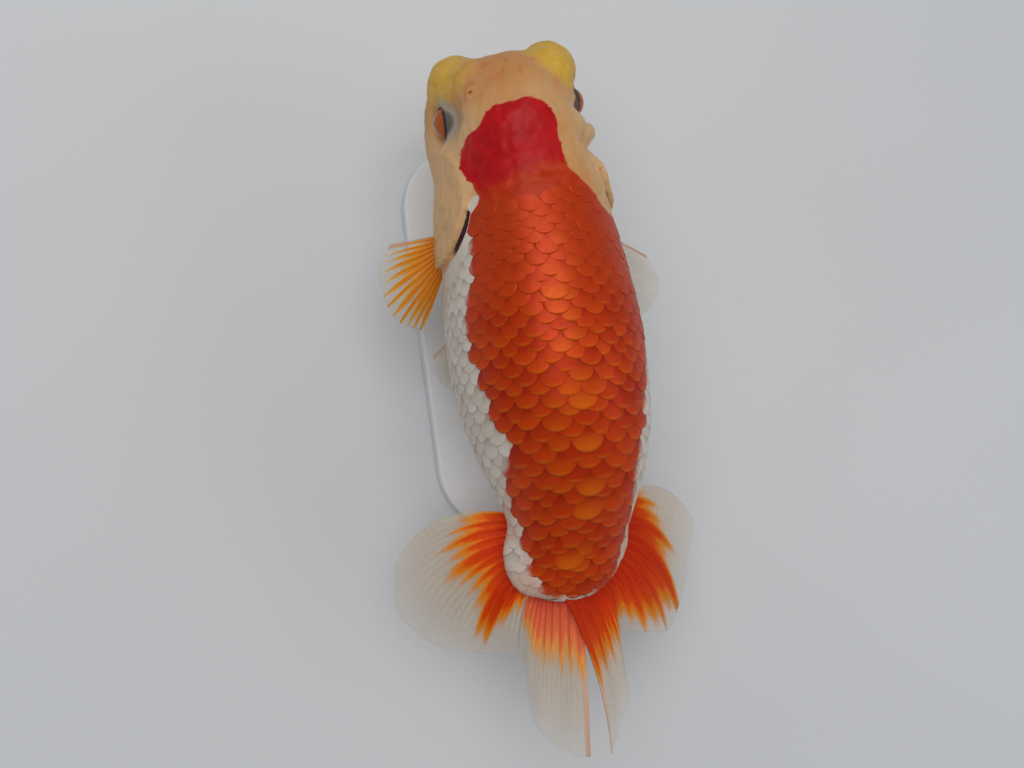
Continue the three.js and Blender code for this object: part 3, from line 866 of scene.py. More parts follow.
def skin_material():
    """Moist skin: cream wen, yellow lobes, the crimson cap, the red back and the pearly flanks."""
    s = Shader("skin")
    broad = s.noise(9, 3)
    fine = s.noise(1.6, 4, 0.6)
    wander = s.swing(s.noise(2.2, 3, 0.6), 1.8)
    cream, wen = wen_colours(s, broad, fine, wander)
    flank = flank_colour(s, broad, cream)
    colour = s.mix(s.ramp(s.attribute("wen"), 0.35, 0.65), flank, wen)
    colour = with_hollows(s, with_red(s, colour, fine, wander))
    grain = s.plus(s.noise(0.55, 3, 0.6), s.times(fine, 1.4))
    return s.finish(
        colour, s.dull(fine, 0.42, 0.58),
        normal=s.bump(grain, 0.05),
        subsurface_weight=0.2,
        subsurface_radius=(0.0016, 0.0006, 0.0003),
        subsurface_scale=1.0,
        specular_ior_level=0.16,
        coat_weight=0.04,
        coat_roughness=0.25,
    )


def red_scales(s, tip, across, tint, fine, broad):
    """Each red scale darkens towards its hidden root, painted shade under the scale ahead, with a
    light rim; some have a gold middle.
    """
    crisp = s.attribute("crisp")
    # From painted shade at the root to the scale's own red towards its tip.
    body = s.ramp(tip, 0.3, 0.85)
    blurred = s.math("SUBTRACT", 1.0, crisp)
    red = s.mix(s.scaled(blurred, 0.5, body), ROOT_SHADE_RED, RED_ORANGE)
    lean = s.scaled(tint, 0.75, s.times(broad, 0.35))
    red = s.mix(s.times(body, lean), red, ORANGE)
    rim = s.times(s.ramp(s.plus(tip, s.times(fine, 0.08)), 0.86, 1.0), crisp)
    red = s.mix(s.times(rim, 0.5), red, GOLD)
    middle = s.ramp(s.math("ABSOLUTE", across), 0.2, 1.0, 1.0, 0.25)
    middle = s.times(middle, s.ramp(tip, 0.4, 0.9))
    red = s.mix(s.times(s.attribute("gold"), s.scaled(middle, 0.75, 0.05)), red, GOLD)
    return s.mix(s.times(s.ramp(crisp, 0.0, 1.0, 1.0, 0.0), 0.75), red, NAPE)


def pearl_scales(s, tip, tint, broad):
    """Milky scales greying towards their roots as painted shade, with paler tips, a blush near the
    tail and cream under the throat.
    """
    # Painted shade at the root, giving way to the scale's own pearl.
    pearl = s.mix(s.ramp(tip, 0.35, 0.8), PEARL_ROOT_SHADE, PEARL)
    milky = s.scaled(tint, 0.6, s.times(broad, 0.4))
    pearl = s.mix(s.times(milky, s.ramp(tip, 0.3, 0.85)), pearl, PEARL_WHITE)
    pearl = s.mix(s.times(s.ramp(tip, 0.86, 1.0), 0.6), pearl, PEARL_WHITE)
    blush = s.times(s.attribute("blush"), s.ramp(s.noise(4.0, 2), 0.35, 0.7))
    pearl = s.mix(s.times(blush, 0.8), pearl, BLUSH)
    return s.mix(s.times(s.attribute("throat"), 0.85), pearl, PALE_CREAM)


def scale_material():
    """Wet scales, red inside the markings and pearly outside them, with fine spokes."""
    s = Shader("scales")
    tip, across, tint = (s.attribute(name) for name in ("tip", "across", "tint"))
    fine = s.noise(0.8, 3, 0.6)
    broad = s.noise(7, 3)
    edge = s.plus(s.attribute("red"), s.swing(s.noise(1.3, 2, 0.6), 1.2))
    red = red_scales(s, tip, across, tint, fine, broad)
    colour = s.mix(s.ramp(edge, -0.5, 0.5), pearl_scales(s, tip, tint, broad), red)
    spokes = s.math("SINE", s.times(across, 26.0))
    return s.finish(
        colour, s.dull(fine, 0.38, 0.52),
        metallic=s.ramp(edge, -0.5, 0.5, 0.12, 0.28),
        normal=s.bump(s.scaled(spokes, 0.3, fine), 0.010),
        specular_ior_level=0.15,
        coat_weight=0.04,
        coat_roughness=0.2,
    )


def fin_material(name, colours, clear, dense):
    """Thin membrane between rays: the coloured root fades along the rays into clear cream."""
    root_colour, zone_colour, edge_colour = colours
    s = Shader(name)
    ray = s.attribute("ray")
    along = s.attribute("along")
    fine = s.noise(0.7, 3, 0.6)
    flame = s.plus(s.attribute("red_reach"), s.swing(fine, 0.06))
    first = s.times(s.attribute("first_ray"), 0.8)
    membrane = s.mix(first, s.mix(ray, MEMBRANE, RAY_CREAM), FIRST_RAY)
    inner = s.mix(s.ramp(flame, 0.05, 0.34), zone_colour, root_colour)
    inner = s.mix(s.times(ray, 0.3), inner, zone_colour)
    colour = s.mix(s.ramp(flame, -0.16, -0.02), membrane, edge_colour)
    colour = s.mix(s.ramp(flame, -0.04, 0.12), colour, inner)
    see_through = s.scaled(ray, dense - clear, clear)
    see_through = s.times(see_through, s.ramp(along, 0.6, 1.0, 1.0, 0.4))
    cover = s.ramp(flame, -0.16, 0.06, 0.0, 0.99)
    alpha = s.math("MAXIMUM", s.math("MAXIMUM", see_through, cover), first)
    alpha = s.math("MAXIMUM", alpha, s.ramp(along, 0.02, 0.16, 1.0, 0.0))
    return s.finish(
        colour, s.dull(fine, 0.40, 0.55),
        alpha=alpha,
        metallic=s.times(cover, 0.2),
        normal=s.bump(fine, 0.05),
        specular_ior_level=0.1,
    )


def eyeball_material():
    """Dark coat, orange iris with fine grain, and a black pupil, by distance from the axis."""
    s = Shader("eyeball")
    ring = s.attribute("ring")
    fine = s.noise(0.35, 4, 0.7)
    iris = s.mix(fine, IRIS_DEEP, IRIS_ORANGE)
    iris = s.mix(s.ramp(s.noise(1.2, 2), 0.55, 0.75), iris, IRIS_BLOTCH)
    iris = s.mix(s.ramp(ring, PUPIL_RADIUS + 0.1, PUPIL_RADIUS + 0.4, 1.0, 0.0), iris, IRIS_RING)
    colour = s.mix(s.ramp(ring, 3.2, 3.4), iris, GLOBE_DARK)
    pupil = s.ramp(ring, PUPIL_RADIUS - 0.06, PUPIL_RADIUS, 1.0, 0.0)
    return s.finish(
        s.mix(pupil, colour, PUPIL_BLACK), s.dull(fine, 0.3, 0.45),
        metallic=s.ramp(ring, PUPIL_RADIUS, PUPIL_RADIUS + 0.2, 0.0, 0.3),
        normal=s.bump(fine, 0.03),
    )


def cornea_material():
    s = Shader("cornea")
    colour = s.mix(s.noise(2.0, 2), (0.97, 0.97, 0.97), (1, 1, 1))
    return s.finish(colour, 0.02, transmission_weight=1.0, ior=1.10)


def paint_material():
    s = Shader("stand_paint")
    colour = s.mix(s.ramp(s.noise(25, 3), 0.3, 0.7), (0.66, 0.67, 0.68), (0.74, 0.75, 0.75))
    peel = s.noise(1.1, 2)
    return s.finish(colour, s.ramp(peel, 0.3, 0.7, 0.32, 0.42), normal=s.bump(peel, 0.02))


def steel_material():
    s = Shader("stand_steel")
    stretch = s.tree.nodes.new("ShaderNodeMapping")
    stretch.inputs["Scale"].default_value = (0.08, 0.08, 3.0)
    s.link(s.coordinates, stretch.inputs["Vector"])
    s.coordinates = stretch.outputs["Vector"]
    lines = s.noise(0.25, 3, 0.7)
    colour = s.mix(lines, (0.58, 0.59, 0.60), (0.66, 0.67, 0.68))
    bump = s.bump(lines, 0.01)
    return s.finish(colour, s.dull(lines, 0.26, 0.36), metallic=1.0, normal=bump)


def floor_material():
    s = Shader("floor")
    cloud = s.ramp(s.noise(160, 3), 0.3, 0.7)
    return s.finish(s.mix(cloud, (0.60, 0.61, 0.62), (0.64, 0.65, 0.66)), 0.6)


# ---- skin ----
HEAD_CELL = 0.44
REAR_CELL = 0.9
HEAD_CELLS_END = 47.0
GRID_FRONT = -3.6
GRID_HALF_WIDTH = 23.6
GRID_HALF_HEIGHT = 30.5


def skin_axes():
    """The grid's places on its three axes, with finer cells along the head."""
    head = np.arange(GRID_FRONT, HEAD_CELLS_END, HEAD_CELL * 0.9)
    rear = np.arange(HEAD_CELLS_END + 0.2, BODY_LENGTH + 2, REAR_CELL)
    return [
        np.arange(-GRID_HALF_WIDTH, GRID_HALF_WIDTH, HEAD_CELL),
        np.concatenate([head, rear]),
        np.arange(-GRID_HALF_HEIGHT, GRID_HALF_HEIGHT, HEAD_CELL),
    ]


def in_gill_opening(x, u, z):
    """How much painted shade a place gets for lying in a gill opening, 0 to 1; lower down it shows
    less.
    """
    deep = smoothstep(0.2, -0.2, body_distance(x, u, z))
    deep *= smoothstep(0.8, 0.5, np.abs(gill_gap(x, u, z) - 0.4))
    return deep * (smoothstep(30, 34, u) * (0.35 + 0.65 * smoothstep(6, 11, z)))


def skin_relief(points, wen, eye, lobe, slit):
    """Height of the hood's lumps and the lobes' grains; the lumps fade round eyes and slits."""
    rough = wen * smoothstep(0.2, 2.0, eye) * (1 - slit) * (1 - 0.75 * smoothstep(-0.5, 1.0, lobe))
    relief = 0.42 * (pebbles(points, 3.3, 5) - 0.6) + 0.14 * value_noise(points, 1.3, 6)
    relief += 0.45 * value_noise(points, 6.5, 7)
    grains = 0.22 * (pebbles(points, 1.7, 8) - 0.6) * smoothstep(-1.0, 0.6, lobe)
    return rough * relief + grains * smoothstep(0.2, 1.5, eye)


def skin_piece():
    axes = skin_axes()
    values = skin_distance(*np.meshgrid(*axes, indexing="ij", sparse=True))
    points, quads = surface_quads(values, axes)
    points, normals = settled(points)
    x, u, z = points.T
    lobe = np.maximum(-lobe_distance(x, u, z, 1) - 0.1, -lobe_distance(x, u, z, -1))
    wen = smoothstep(1.5, 0.5, behind_hood(x, u, z))
    eye = np.minimum(*(ball(x, u, z, eye_centre(side), EYE_RADIUS) for side in SIDES.values()))
    slit = in_gill_opening(x, u, z)
    # Painted shade along the line where the lips meet.
    mouth = 0.75 * smoothstep(0.45, 0.95, mouth_line(x, u, z)) * (u < 3)
    attributes = {
        "red": red_depth(x, u, z),
        "cap": cap_depth(x, u, z),
        "lobe": lobe,
        "wen": wen,
        # Where the cheeks get their paler cream, partly painted light on the head's sides.
        "cheek": smoothstep(25, 17, z) * smoothstep(9, 18, u),
        "lip": smoothstep(0.9, 0.2, np.minimum(*(lip_ring(x, u, z, *lip) for lip in LIPS))),
        "blush": blush_share(u),
        "face": smoothstep(16, 8, u) * smoothstep(-6, 2, z),
        "eye": eye,
        "brow": smoothstep(-1.5, 2.0, z - EYE_UP),
        "behind": u - 27.5 - 0.37 * np.maximum(x, 0) + 0.18 * np.minimum(x, 0),
        "throat": throat_share(u, z),
        # The painted shade of the gill openings and the mouth.
        "slit": np.maximum(slit, mouth),
    }
    points = points + normals * skin_relief(points, wen, eye, lobe, slit)[:, None]
    return make_piece("skin", world(points), quads, skin_material(), attributes)


# ---- scales ----
SCALE_WIDTHS = np.array([
    (30, 4.6), (44, 5.0), (61, 5.4), (76, 5.9), (90, 6.3), (100, 6.0), (110, 5.2), (119, 4.4),
])  # distance behind the snout and width
ROW_SHARE = 0.38  # spacing of the rows as a share of a scale's width
SCALE_REACH = 3.05  # a scale's length, in spacings
SCALE_MIDDLE = 2.1  # where along it the middle of its bare part lies, in spacings
SCALE_HALF = 0.57  # half its width, as a share of the columns' spacing
FIRST_ROW = 25.0
LAST_ROW = 116.4
CELLS_ALONG = 10
CELLS_ACROSS = 10
SCALE_FRONT = 0.45  # the share of a scale ahead of its rounded rear edge
FRONT_ROWS = 2  # rows of cells in that share
ROOT_DEPTH = 0.36  # how deep a scale's root lies under the skin
SCALE_THICKNESS = 0.1
GILL_MARGIN = 0.9  # how far behind a gill cover the scales start
HOOD_COVER = 0.7  # how much deeper a scale lies where its root is under the hood
UV_PATCH = 0.003  # the size of each scale's patch in the baking map
BACK_ANGLE = 62  # how far down each side the mesh over the back reaches, in degrees


def ring_table():
    """The body's outline at many distances, by share of the way round from the ridge."""
    places = np.arange(FIRST_ROW - 4, BODY_LENGTH - 0.2, 0.25)
    angles = np.linspace(0, 2 * math.pi, 721)
    half, top, bottom = (section(places, column)[0][:, None] for column in (1, 2, 3))
    stalk = np.clip(1 - (BODY_LENGTH - places) / STALK_ROUNDING, 0, 1)
    closing = np.sqrt(1 - stalk**2)[:, None]
    side = np.sign(np.sin(angles)) * np.abs(np.sin(angles)) ** (2 / SECTION_POWER)
    up = np.sign(np.cos(angles)) * np.abs(np.cos(angles)) ** (2 / SECTION_POWER)
    x = spine(places)[:, None] + half * closing * side
    z = np.where(up > 0, top, bottom) * closing * up
    steps = np.hypot(np.diff(x, axis=1), np.diff(z, axis=1))
    arc = np.concatenate([np.zeros((len(places), 1)), np.cumsum(steps, axis=1)], axis=1)
    shares = np.linspace(0, 1, 361)
    even_x = np.array([np.interp(shares, row / row[-1], xs) for row, xs in zip(arc, x)])
    even_z = np.array([np.interp(shares, row / row[-1], zs) for row, zs in zip(arc, z)])
    return places, arc[:, -1], even_x, even_z


def on_ring(table, u, share):
    """Points of the body's outline at u, a share of the way round."""
    places, _, even_x, even_z = table
    row = np.clip((u - places[0]) / (places[1] - places[0]), 0, len(places) - 1.001)
    column = (share % 1.0) * (even_x.shape[1] - 1)
    i, j = row.astype(int), np.minimum(column.astype(int), even_x.shape[1] - 2)
    s, t = row - i, column - j
    points = []
    for grid in (even_x, even_z):
        low = grid[i, j] * (1 - t) + grid[i, j + 1] * t
        high = grid[i + 1, j] * (1 - t) + grid[i + 1, j + 1] * t
        points.append(low * (1 - s) + high * s)
    return np.column_stack([points[0], u, points[1]])


def scale_outline():
    """Places on one flat scale, from root to tip and side to side: along 0 to 1, across -1 to 1."""
    b = np.linspace(-1, 1, CELLS_ACROSS + 1)[None, :]
    front = np.linspace(0, SCALE_FRONT, FRONT_ROWS + 1)[:-1, None]
    a = np.linspace(0, 1, CELLS_ALONG - FRONT_ROWS + 1)[:, None]
    rear_along = SCALE_FRONT + (1 - SCALE_FRONT) * a * np.sqrt(1 - b**2 / 2)
    rear_across = b * np.sqrt(1 - a**2 / 2)
    front_along = front + 0 * b
    front_across = b * (0.78 + 0.22 * front / SCALE_FRONT)
    along = np.concatenate([front_along, rear_along])
    across = np.concatenate([front_across, rear_across])
    return along.ravel(), across.ravel()


def scale_width(u):
    return cubic_rows(SCALE_WIDTHS[:, 0], SCALE_WIDTHS[:, 1], u)[0]


def scale_places(table):
    """Rows of scales counted out from the ridge: distance behind the snout and column number."""
    places, rounds, _, _ = table
    rows = []
    u = FIRST_ROW
    odd = 0
    while u < LAST_ROW:
        width = float(scale_width(u))
        most = np.interp(u, places, rounds) / width / 2
        columns = np.arange(-math.ceil(most), math.ceil(most) + 1) + 0.5 * odd
        columns = columns[np.abs(columns) <= most + 0.25]
        rows += [(u, column, width) for column in columns]
        u += width * ROW_SHARE
        odd = 1 - odd
    return np.array(rows)


def share_at(table, u, arc):
    """The share of the way round the body at an arc length from the ridge."""
    return arc / np.interp(u, table[0], table[1])


def gold_scales(centres, angle, rng):
    """How bright each scale is: the single bright ones, and some of those along the ridge."""
    gold = np.zeros(len(centres))
    arc = np.radians(np.hypot(centres[:, 0], centres[:, 2]))
    for at, turn in GOLD_SCALES:
        gap = np.hypot(centres[:, 1] - at, (angle - turn) * arc)
        gold[np.argmin(gap)] = 1.0
    near_ridge = smoothstep(18, 4, np.abs(angle - 3)) * smoothstep(34, 50, centres[:, 1])
    chosen = rng.uniform(0, 1, len(centres)) > 0.65
    return np.maximum(gold, near_ridge * chosen * 0.5)


def clear_of_head(roots, centres):
    """Marks the scales behind the head; along the ridge their roots may lie under the hood."""
    under = 5.0 * smoothstep(34, 18, np.abs(back_angle(roots[:, 0], roots[:, 2])))
    rooted = behind_hood(*roots.T, GILL_MARGIN) > 0.3 - under
    return rooted & (behind_hood(*centres.T) > 0.8) & (cap_depth(*centres.T) < -1.5)


def scale_rows(table):
    """The place, size, lift and tints of each scale, one number each."""
    places = scale_places(table)
    rng = np.random.default_rng(11)
    count = len(places)
    u = places[:, 0] + rng.normal(0, 0.12, count)
    column = places[:, 1] + rng.normal(0, 0.02, count)
    width = places[:, 2]
    roots = on_ring(table, u, share_at(table, u, column * scale_width(u)))
    middle = u + SCALE_MIDDLE * ROW_SHARE * width
    centres = on_ring(table, middle, share_at(table, middle, column * scale_width(middle)))
    angle = back_angle(centres[:, 0], centres[:, 2])
    gold = gold_scales(centres, angle, rng)
    crisp = smoothstep(32, 66, u)
    rows = {
        "u": u,
        "column": column,
        "width": width,
        "size": np.clip(rng.normal(1.04, 0.06, count), 0.92, 1.2) * (1 + 0.16 * gold),
        "lift": rng.normal(0.0, 0.05, count) + 0.1 * gold,
        "tint": 0.5 + rng.uniform(-0.5, 0.5, count) * (0.4 + 0.6 * crisp),
        "gold": gold,
        "crisp": crisp,
        "risen": smoothstep(18, 32, u),
        "angle": angle,
        "red": red_depth(*centres.T),
        "throat": throat_share(centres[:, 1], centres[:, 2]),
        "blush": blush_share(centres[:, 1]),
    }
    keep = clear_of_head(roots, centres)
    return {key: values[keep][:, None] for key, values in rows.items()}


def scale_heights(rows, along, across):
    """How far a scale stands over the skin: rising from its root to its tip, and domed across."""
    plain = 0.72 + 0.28 * smoothstep(-1.0, 0.5, rows["red"])
    risen = rows["risen"]
    crisp = rows["crisp"]
    lift = (0.44 + rows["lift"]) * (0.45 + 0.25 * risen + 0.3 * crisp)
    rise = -ROOT_DEPTH + 0.15 * risen + lift * plain * along**1.1
    dome = 0.22 * plain * (0.25 + 0.35 * risen + 0.4 * crisp) * (1 - across**2)
    dome = dome * (0.3 + 0.7 * np.sin(math.pi * np.minimum(along, 0.85)))
    return (rise + dome) * np.clip(rows["width"] / 5.2, 0.7, 1.1)


def scale_shapes(table, rows, along, across):
    """The top and bottom points of every scale, and the red depth under its points."""
    u = rows["u"] + SCALE_REACH * ROW_SHARE * rows["width"] * rows["size"] * along
    arc = rows["column"] * scale_width(u.ravel()).reshape(u.shape)
    arc = arc + SCALE_HALF * rows["width"] * rows["size"] * across
    base, normals = settled(on_ring(table, u.ravel(), share_at(table, u.ravel(), arc.ravel())))
    buried = smoothstep(1.3, -0.5, behind_hood(*base.T)).reshape(u.shape)
    height = scale_heights(rows, along, across) - HOOD_COVER * buried
    rim = np.maximum(smoothstep(0.9, 1.0, along), smoothstep(0.93, 1.0, np.abs(across)))
    faces = [
        (base + normals * rise.ravel()[:, None]).reshape(*u.shape, 3)
        for rise in (height - 0.06 * rim, height - SCALE_THICKNESS)
    ]
    return np.concatenate(faces, axis=1), red_depth(*base.T).reshape(u.shape)


def scale_marks(rows, under, along, across):
    """What the scales' material reads at each point."""
    marks = {"tip": along, "across": across}
    marks.update({key: rows[key] for key in ("tint", "gold", "crisp", "throat", "blush")})
    marks = {key: values + 0 * under for key, values in marks.items()}
    marks["red"] = 0.65 * rows["red"] + 0.35 * under
    return marks


def scale_uv(table, rows, along, across):
    """Each scale's own small patch in the baking map, placed as the scale lies on the body."""
    share = share_at(table, rows["u"], rows["column"] * scale_width(rows["u"])) % 1.0
    patch = (share + UV_PATCH * across / 2, rows["u"] / BODY_LENGTH + UV_PATCH * (along - 0.5))
    return np.stack(patch, axis=-1)


def place_scales():
    """The coat in three joined meshes: over the back and down each side."""
    table = ring_table()
    rows = scale_rows(table)
    along, across = scale_outline()
    points, under = scale_shapes(table, rows, along, across)
    marks = scale_marks(rows, under, along, across)
    uv = scale_uv(table, rows, along, across)
    material = scale_material()
    faces = plate_faces(CELLS_ALONG + 1, CELLS_ACROSS + 1)
    angle = rows["angle"][:, 0]
    groups = {
        "scales_back": np.abs(angle) < BACK_ANGLE,
        "scales_left": angle >= BACK_ANGLE,
        "scales_right": angle <= -BACK_ANGLE,
    }
    for name, chosen in groups.items():
        shifts = np.arange(chosen.sum())[:, None, None] * points.shape[1]
        quads = (faces[None] + shifts).reshape(-1, 4)
        attributes = {key: np.tile(values[chosen], 2).ravel() for key, values in marks.items()}
        patches = np.tile(uv[chosen], (1, 2, 1)).reshape(-1, 2)
        vertices = world(points[chosen].reshape(-1, 3))
        piece = make_piece(name, vertices, quads, material, attributes, patches)
        place_piece(piece, "scales")


# ---- fins ----
def ray_lines(t, r, rays, splits):
    """How near a place of the fan is to a ray, 0 to 1; each ray splits at the given lengths."""
    gap = np.abs((t * rays) % 1.0 - 0.5)
    spread = 0.25
    for start in splits:
        gap = np.abs(gap - spread * smoothstep(start, start + 0.28, r))
        spread /= 2
    width = 0.17 - 0.10 * r
    return np.exp(-((gap / width) ** 2))


def fan_places(rays, splits, cells, span, rng):
    """Places across and along the fan; the frayed margin ends each ray at its own length."""
    across, along = cells
    t = np.linspace(*span, across + 1)[:, None] + np.zeros((1, along + 1))
    r = np.linspace(0, 1, along + 1)[None, :] ** 0.9 + np.zeros((across + 1, 1))
    reach = np.interp(t[:, 0] * rays, np.arange(rays + 2), rng.uniform(-1, 1, rays + 2))
    line = ray_lines(t, np.ones_like(t), rays, splits)[:, -1]
    limit = 1 - FRAY * (0.25 * (1 - line) + 0.5 * (reach + 1))
    return t, r * limit[:, None]


def sheet_points(centre, share, r, raised, wave, rng):
    """Both faces of a thin sheet along its middle surface, softly waved and thicker at its rays."""
    normal = np.cross(np.gradient(centre, axis=1), np.gradient(centre, axis=0))
    normal /= np.linalg.norm(normal, axis=-1, keepdims=True) + TINY_AREA
    phase = rng.uniform(0, 2 * math.pi, 3)
    ripple = np.sin(share * 9 + 2.5 * r + phase[0]) + 0.6 * np.sin(share * 19 - 3 * r + phase[1])
    middle = centre + normal * (ripple * r**1.6 * wave)[..., None]
    half = (FIN_THICKNESS * (1 - 0.62 * r) * 0.5 + raised * (1 - 0.72 * r) * 0.5)[..., None]
    return np.concatenate([
        (middle + normal * half).reshape(-1, 3), (middle - normal * half).reshape(-1, 3)
    ])


def flame_extent(t, rays, flame, teeth, rng):
    """How far along the rays the red reaches: a smooth table, broken up ray by ray into teeth."""
    tooth = 1 - 2 * np.abs((t * rays) % 1.0 - 0.5)
    ray_index = np.floor(t * rays).astype(int)
    own = rng.uniform(-1, 1, rays + 2)
    long_rays = (rng.uniform(0, 1, rays + 2) > 0.8) * rng.uniform(0.5, 1.0, rays + 2)
    knots = np.arange(0, rays + 4, 3)
    groups = np.interp(t * rays, knots, rng.uniform(-1, 1, len(knots)))
    extent = np.interp(t, *np.transpose(flame)) + 0.035 * own[ray_index] + 0.04 * groups
    extent += teeth * (1 + 0.6 * own[::-1][ray_index]) * (tooth - 0.6)
    return extent + 0.06 * long_rays[ray_index] * smoothstep(0.55, 1.0, tooth)


def fin_sheet(name, point, ray_rule, flame, material, cells, seed,
              span=(0.0, 1.0), ridge=0.28, wave=0.3, teeth=0.10):
    """A closed thin sheet with raised rays, a soft wavy surface and a slightly frayed margin."""
    rays, splits = ray_rule
    rng = np.random.default_rng(seed)
    t, r = fan_places(rays, splits, cells, span, rng)
    share = (t - span[0]) / (span[1] - span[0])
    line = ray_lines(t, r, rays, splits)
    rim = np.maximum(smoothstep(0.03, 0.0, share), smoothstep(0.97, 1.0, share))
    points = sheet_points(point(t, r), share, r, np.maximum(line, rim) * ridge, wave, rng)
    # A fin's columns run the other way than a scale's, so its faces are turned over.
    quads = np.roll(plate_faces(cells[0] + 1, cells[1] + 1)[:, ::-1], 1, axis=1)
    marks = {
        "ray": np.maximum(line, 0.6 * rim),
        "along": r,
        "red_reach": flame_extent(t, rays, flame, teeth, rng) - r,
        "first_ray": smoothstep(0.075, 0.02, share) * (span[0] == 0),
    }
    attributes = {key: np.tile(values.ravel(), 2) for key, values in marks.items()}
    return make_piece(name, world(points), quads, material, attributes)


# How far along its rays the red of each fin reaches: place across the fan, share of the length.
TAIL_FLAME = {
    1: [
        (0, 0.40), (0.08, 0.42), (0.16, 0.40), (0.25, 0.42), (0.33, 0.50), (0.42, 0.64),
        (0.435, 0.36), (0.48, 0.48), (0.52, 0.64), (0.55, 0.82), (0.58, 0.84), (0.61, 0.66),
        (0.65, 0.48), (0.72, 0.42), (0.78, 0.50), (0.83, 0.43), (0.9, 0.36), (0.96, 0.30),
        (1, 0.15),
    ],
    -1: [
        (0, 0.46), (0.08, 0.42), (0.16, 0.44), (0.25, 0.50), (0.33, 0.60), (0.42, 0.78),
        (0.47, 0.78), (0.52, 0.84), (0.58, 0.80), (0.64, 0.88), (0.69, 0.80), (0.73, 0.98),
        (0.78, 0.66), (0.82, 0.72), (0.9, 0.52), (0.95, 0.4), (1, 0.15),
    ],
}
PECTORAL_FLAME = {
    1: [(0, 0.45), (0.15, 0.62), (0.5, 0.78), (1, 0.88)],
    -1: [(0, 0.0), (1, 0.05)],
}
PALE_FLAME = [(0, 0.05), (1, 0.05)]
TAIL_RAYS = (21, (0.28, 0.58))  # how many rays, and where along its length each one splits
PECTORAL_RAYS = (12, (0.4, 0.75))
PELVIC_RAYS = (9, (0.4, 0.75))
ANAL_RAYS = (8, (0.4, 0.75))
HALF_GAP = 0.004  # half the gap between a tail half's two lobes, as a share of the fan
FIN_THICKNESS = 0.34
FRAY = 0.03  # how much shorter than the longest ray the margin may end


def fin_rows(side, red, pink, orange, pale):
    """One side's fins: piece, node, shape, rays, red, material, cells, and their own settings."""
    tail = functools.partial(tail_point, side)
    pectoral = functools.partial(paired_point, PECTORAL[side], PECTORAL_ARCH, side)
    pelvic = functools.partial(paired_point, PELVIC, PELVIC_ARCH, side)
    anal = functools.partial(paired_point, ANAL, ANAL_ARCH, side)
    inner = {"span": (0.0, TAIL_FORK - HALF_GAP), "wave": 0.5}
    outer = {"span": (TAIL_FORK + HALF_GAP, 1.0), "wave": 0.5}
    strong = {"ridge": 0.42, "teeth": 0.5}
    inner_colour, chest_colour = (pink, orange) if side > 0 else (red, pale)
    flame, chest_flame = TAIL_FLAME[side], PECTORAL_FLAME[side]
    return [
        ("tail_inner", "tail_fin_{}_inner", tail, TAIL_RAYS, flame, inner_colour, (130, 64), inner),
        ("tail_outer", "tail_fin_{}_outer", tail, TAIL_RAYS, flame, red, (170, 56), outer),
        ("pectoral", "pectoral_fin_{}", pectoral, PECTORAL_RAYS, chest_flame, chest_colour,
         (120, 36), strong),
        ("pelvic", "pelvic_fin_{}", pelvic, PELVIC_RAYS, PALE_FLAME, pale, (90, 32), {}),
        ("anal", "anal_fin_{}", anal, ANAL_RAYS, PALE_FLAME, pale, (80, 28), {}),
    ]


def place_fins():
    red = fin_material("fin_red", FIN_RED, 0.28, 0.42)
    orange = fin_material("fin_orange", FIN_ORANGE, 0.20, 0.4)
    pink = fin_material("fin_pink", FIN_PINK, 0.28, 0.42)
    pale = fin_material("fin_pale", FIN_PALE, 0.22, 0.42)
    for first_seed, (name, side) in zip((31, 81), SIDES.items()):
        rows = fin_rows(side, red, pink, orange, pale)
        for seed, (kind, node, *settings, own) in enumerate(rows, first_seed):
            piece = fin_sheet(f"{kind}_{name}", *settings, seed, **own)
            place_piece(piece, "fin", node.format(name))


# ---- eyes ----
IRIS_INSET = 0.09
GLOBE_INSET = 0.06
PUPIL_INSET = 0.06  # how far the pupil lies inside the iris
CORNEA_THICKNESS = 0.05


def turned(profile, centre, outward, segments=72):
    """A surface turned about the eye's outward axis; profile rows are (out, radius)."""
    along_u = np.array([0.0, 1.0, 0.0])
    third = np.cross(outward, along_u)
    angles = np.linspace(0, 2 * math.pi, segments, endpoint=False)[:, None]
    wheel = along_u * np.cos(angles) + third * np.sin(angles)
    points = np.concatenate([centre + outward * out + wheel * radius for out, radius in profile])
    return points, ring_quads(segments, len(profile))


def arc_rows(radius, start, end, steps=16):
    """Rows (out, radius) of a sphere between the planes at start and end."""
    angles = np.linspace(math.asin(start / radius), math.asin(end / radius), steps)
    return [(radius * math.sin(a), radius * math.cos(a)) for a in angles]


def eyeball_rows():
    """A dark globe, a domed iris from the lids to the pupil, and the pupil a little deeper."""
    globe = EYE_RADIUS - GLOBE_INSET
    iris = EYE_RADIUS - IRIS_INSET
    pupil = iris - PUPIL_INSET
    iris_end = math.sqrt(iris**2 - PUPIL_RADIUS**2)
    pupil_start = math.sqrt(pupil**2 - (PUPIL_RADIUS - 0.04) ** 2)
    return (
        arc_rows(globe, -0.999 * globe, EYE_RIM, 20)
        + arc_rows(iris, EYE_RIM + 0.05, iris_end, 14)
        + arc_rows(pupil, pupil_start, 0.9999 * pupil, 8)
    )


def cornea_rows():
    """A thin clear shell over the eye, closed round its rim."""
    inside = EYE_RADIUS - CORNEA_THICKNESS
    outer = arc_rows(EYE_RADIUS, EYE_RIM, 0.9999 * EYE_RADIUS)
    inner = arc_rows(inside, EYE_RIM, 0.9999 * inside)
    return outer + inner[::-1] + [outer[0]]


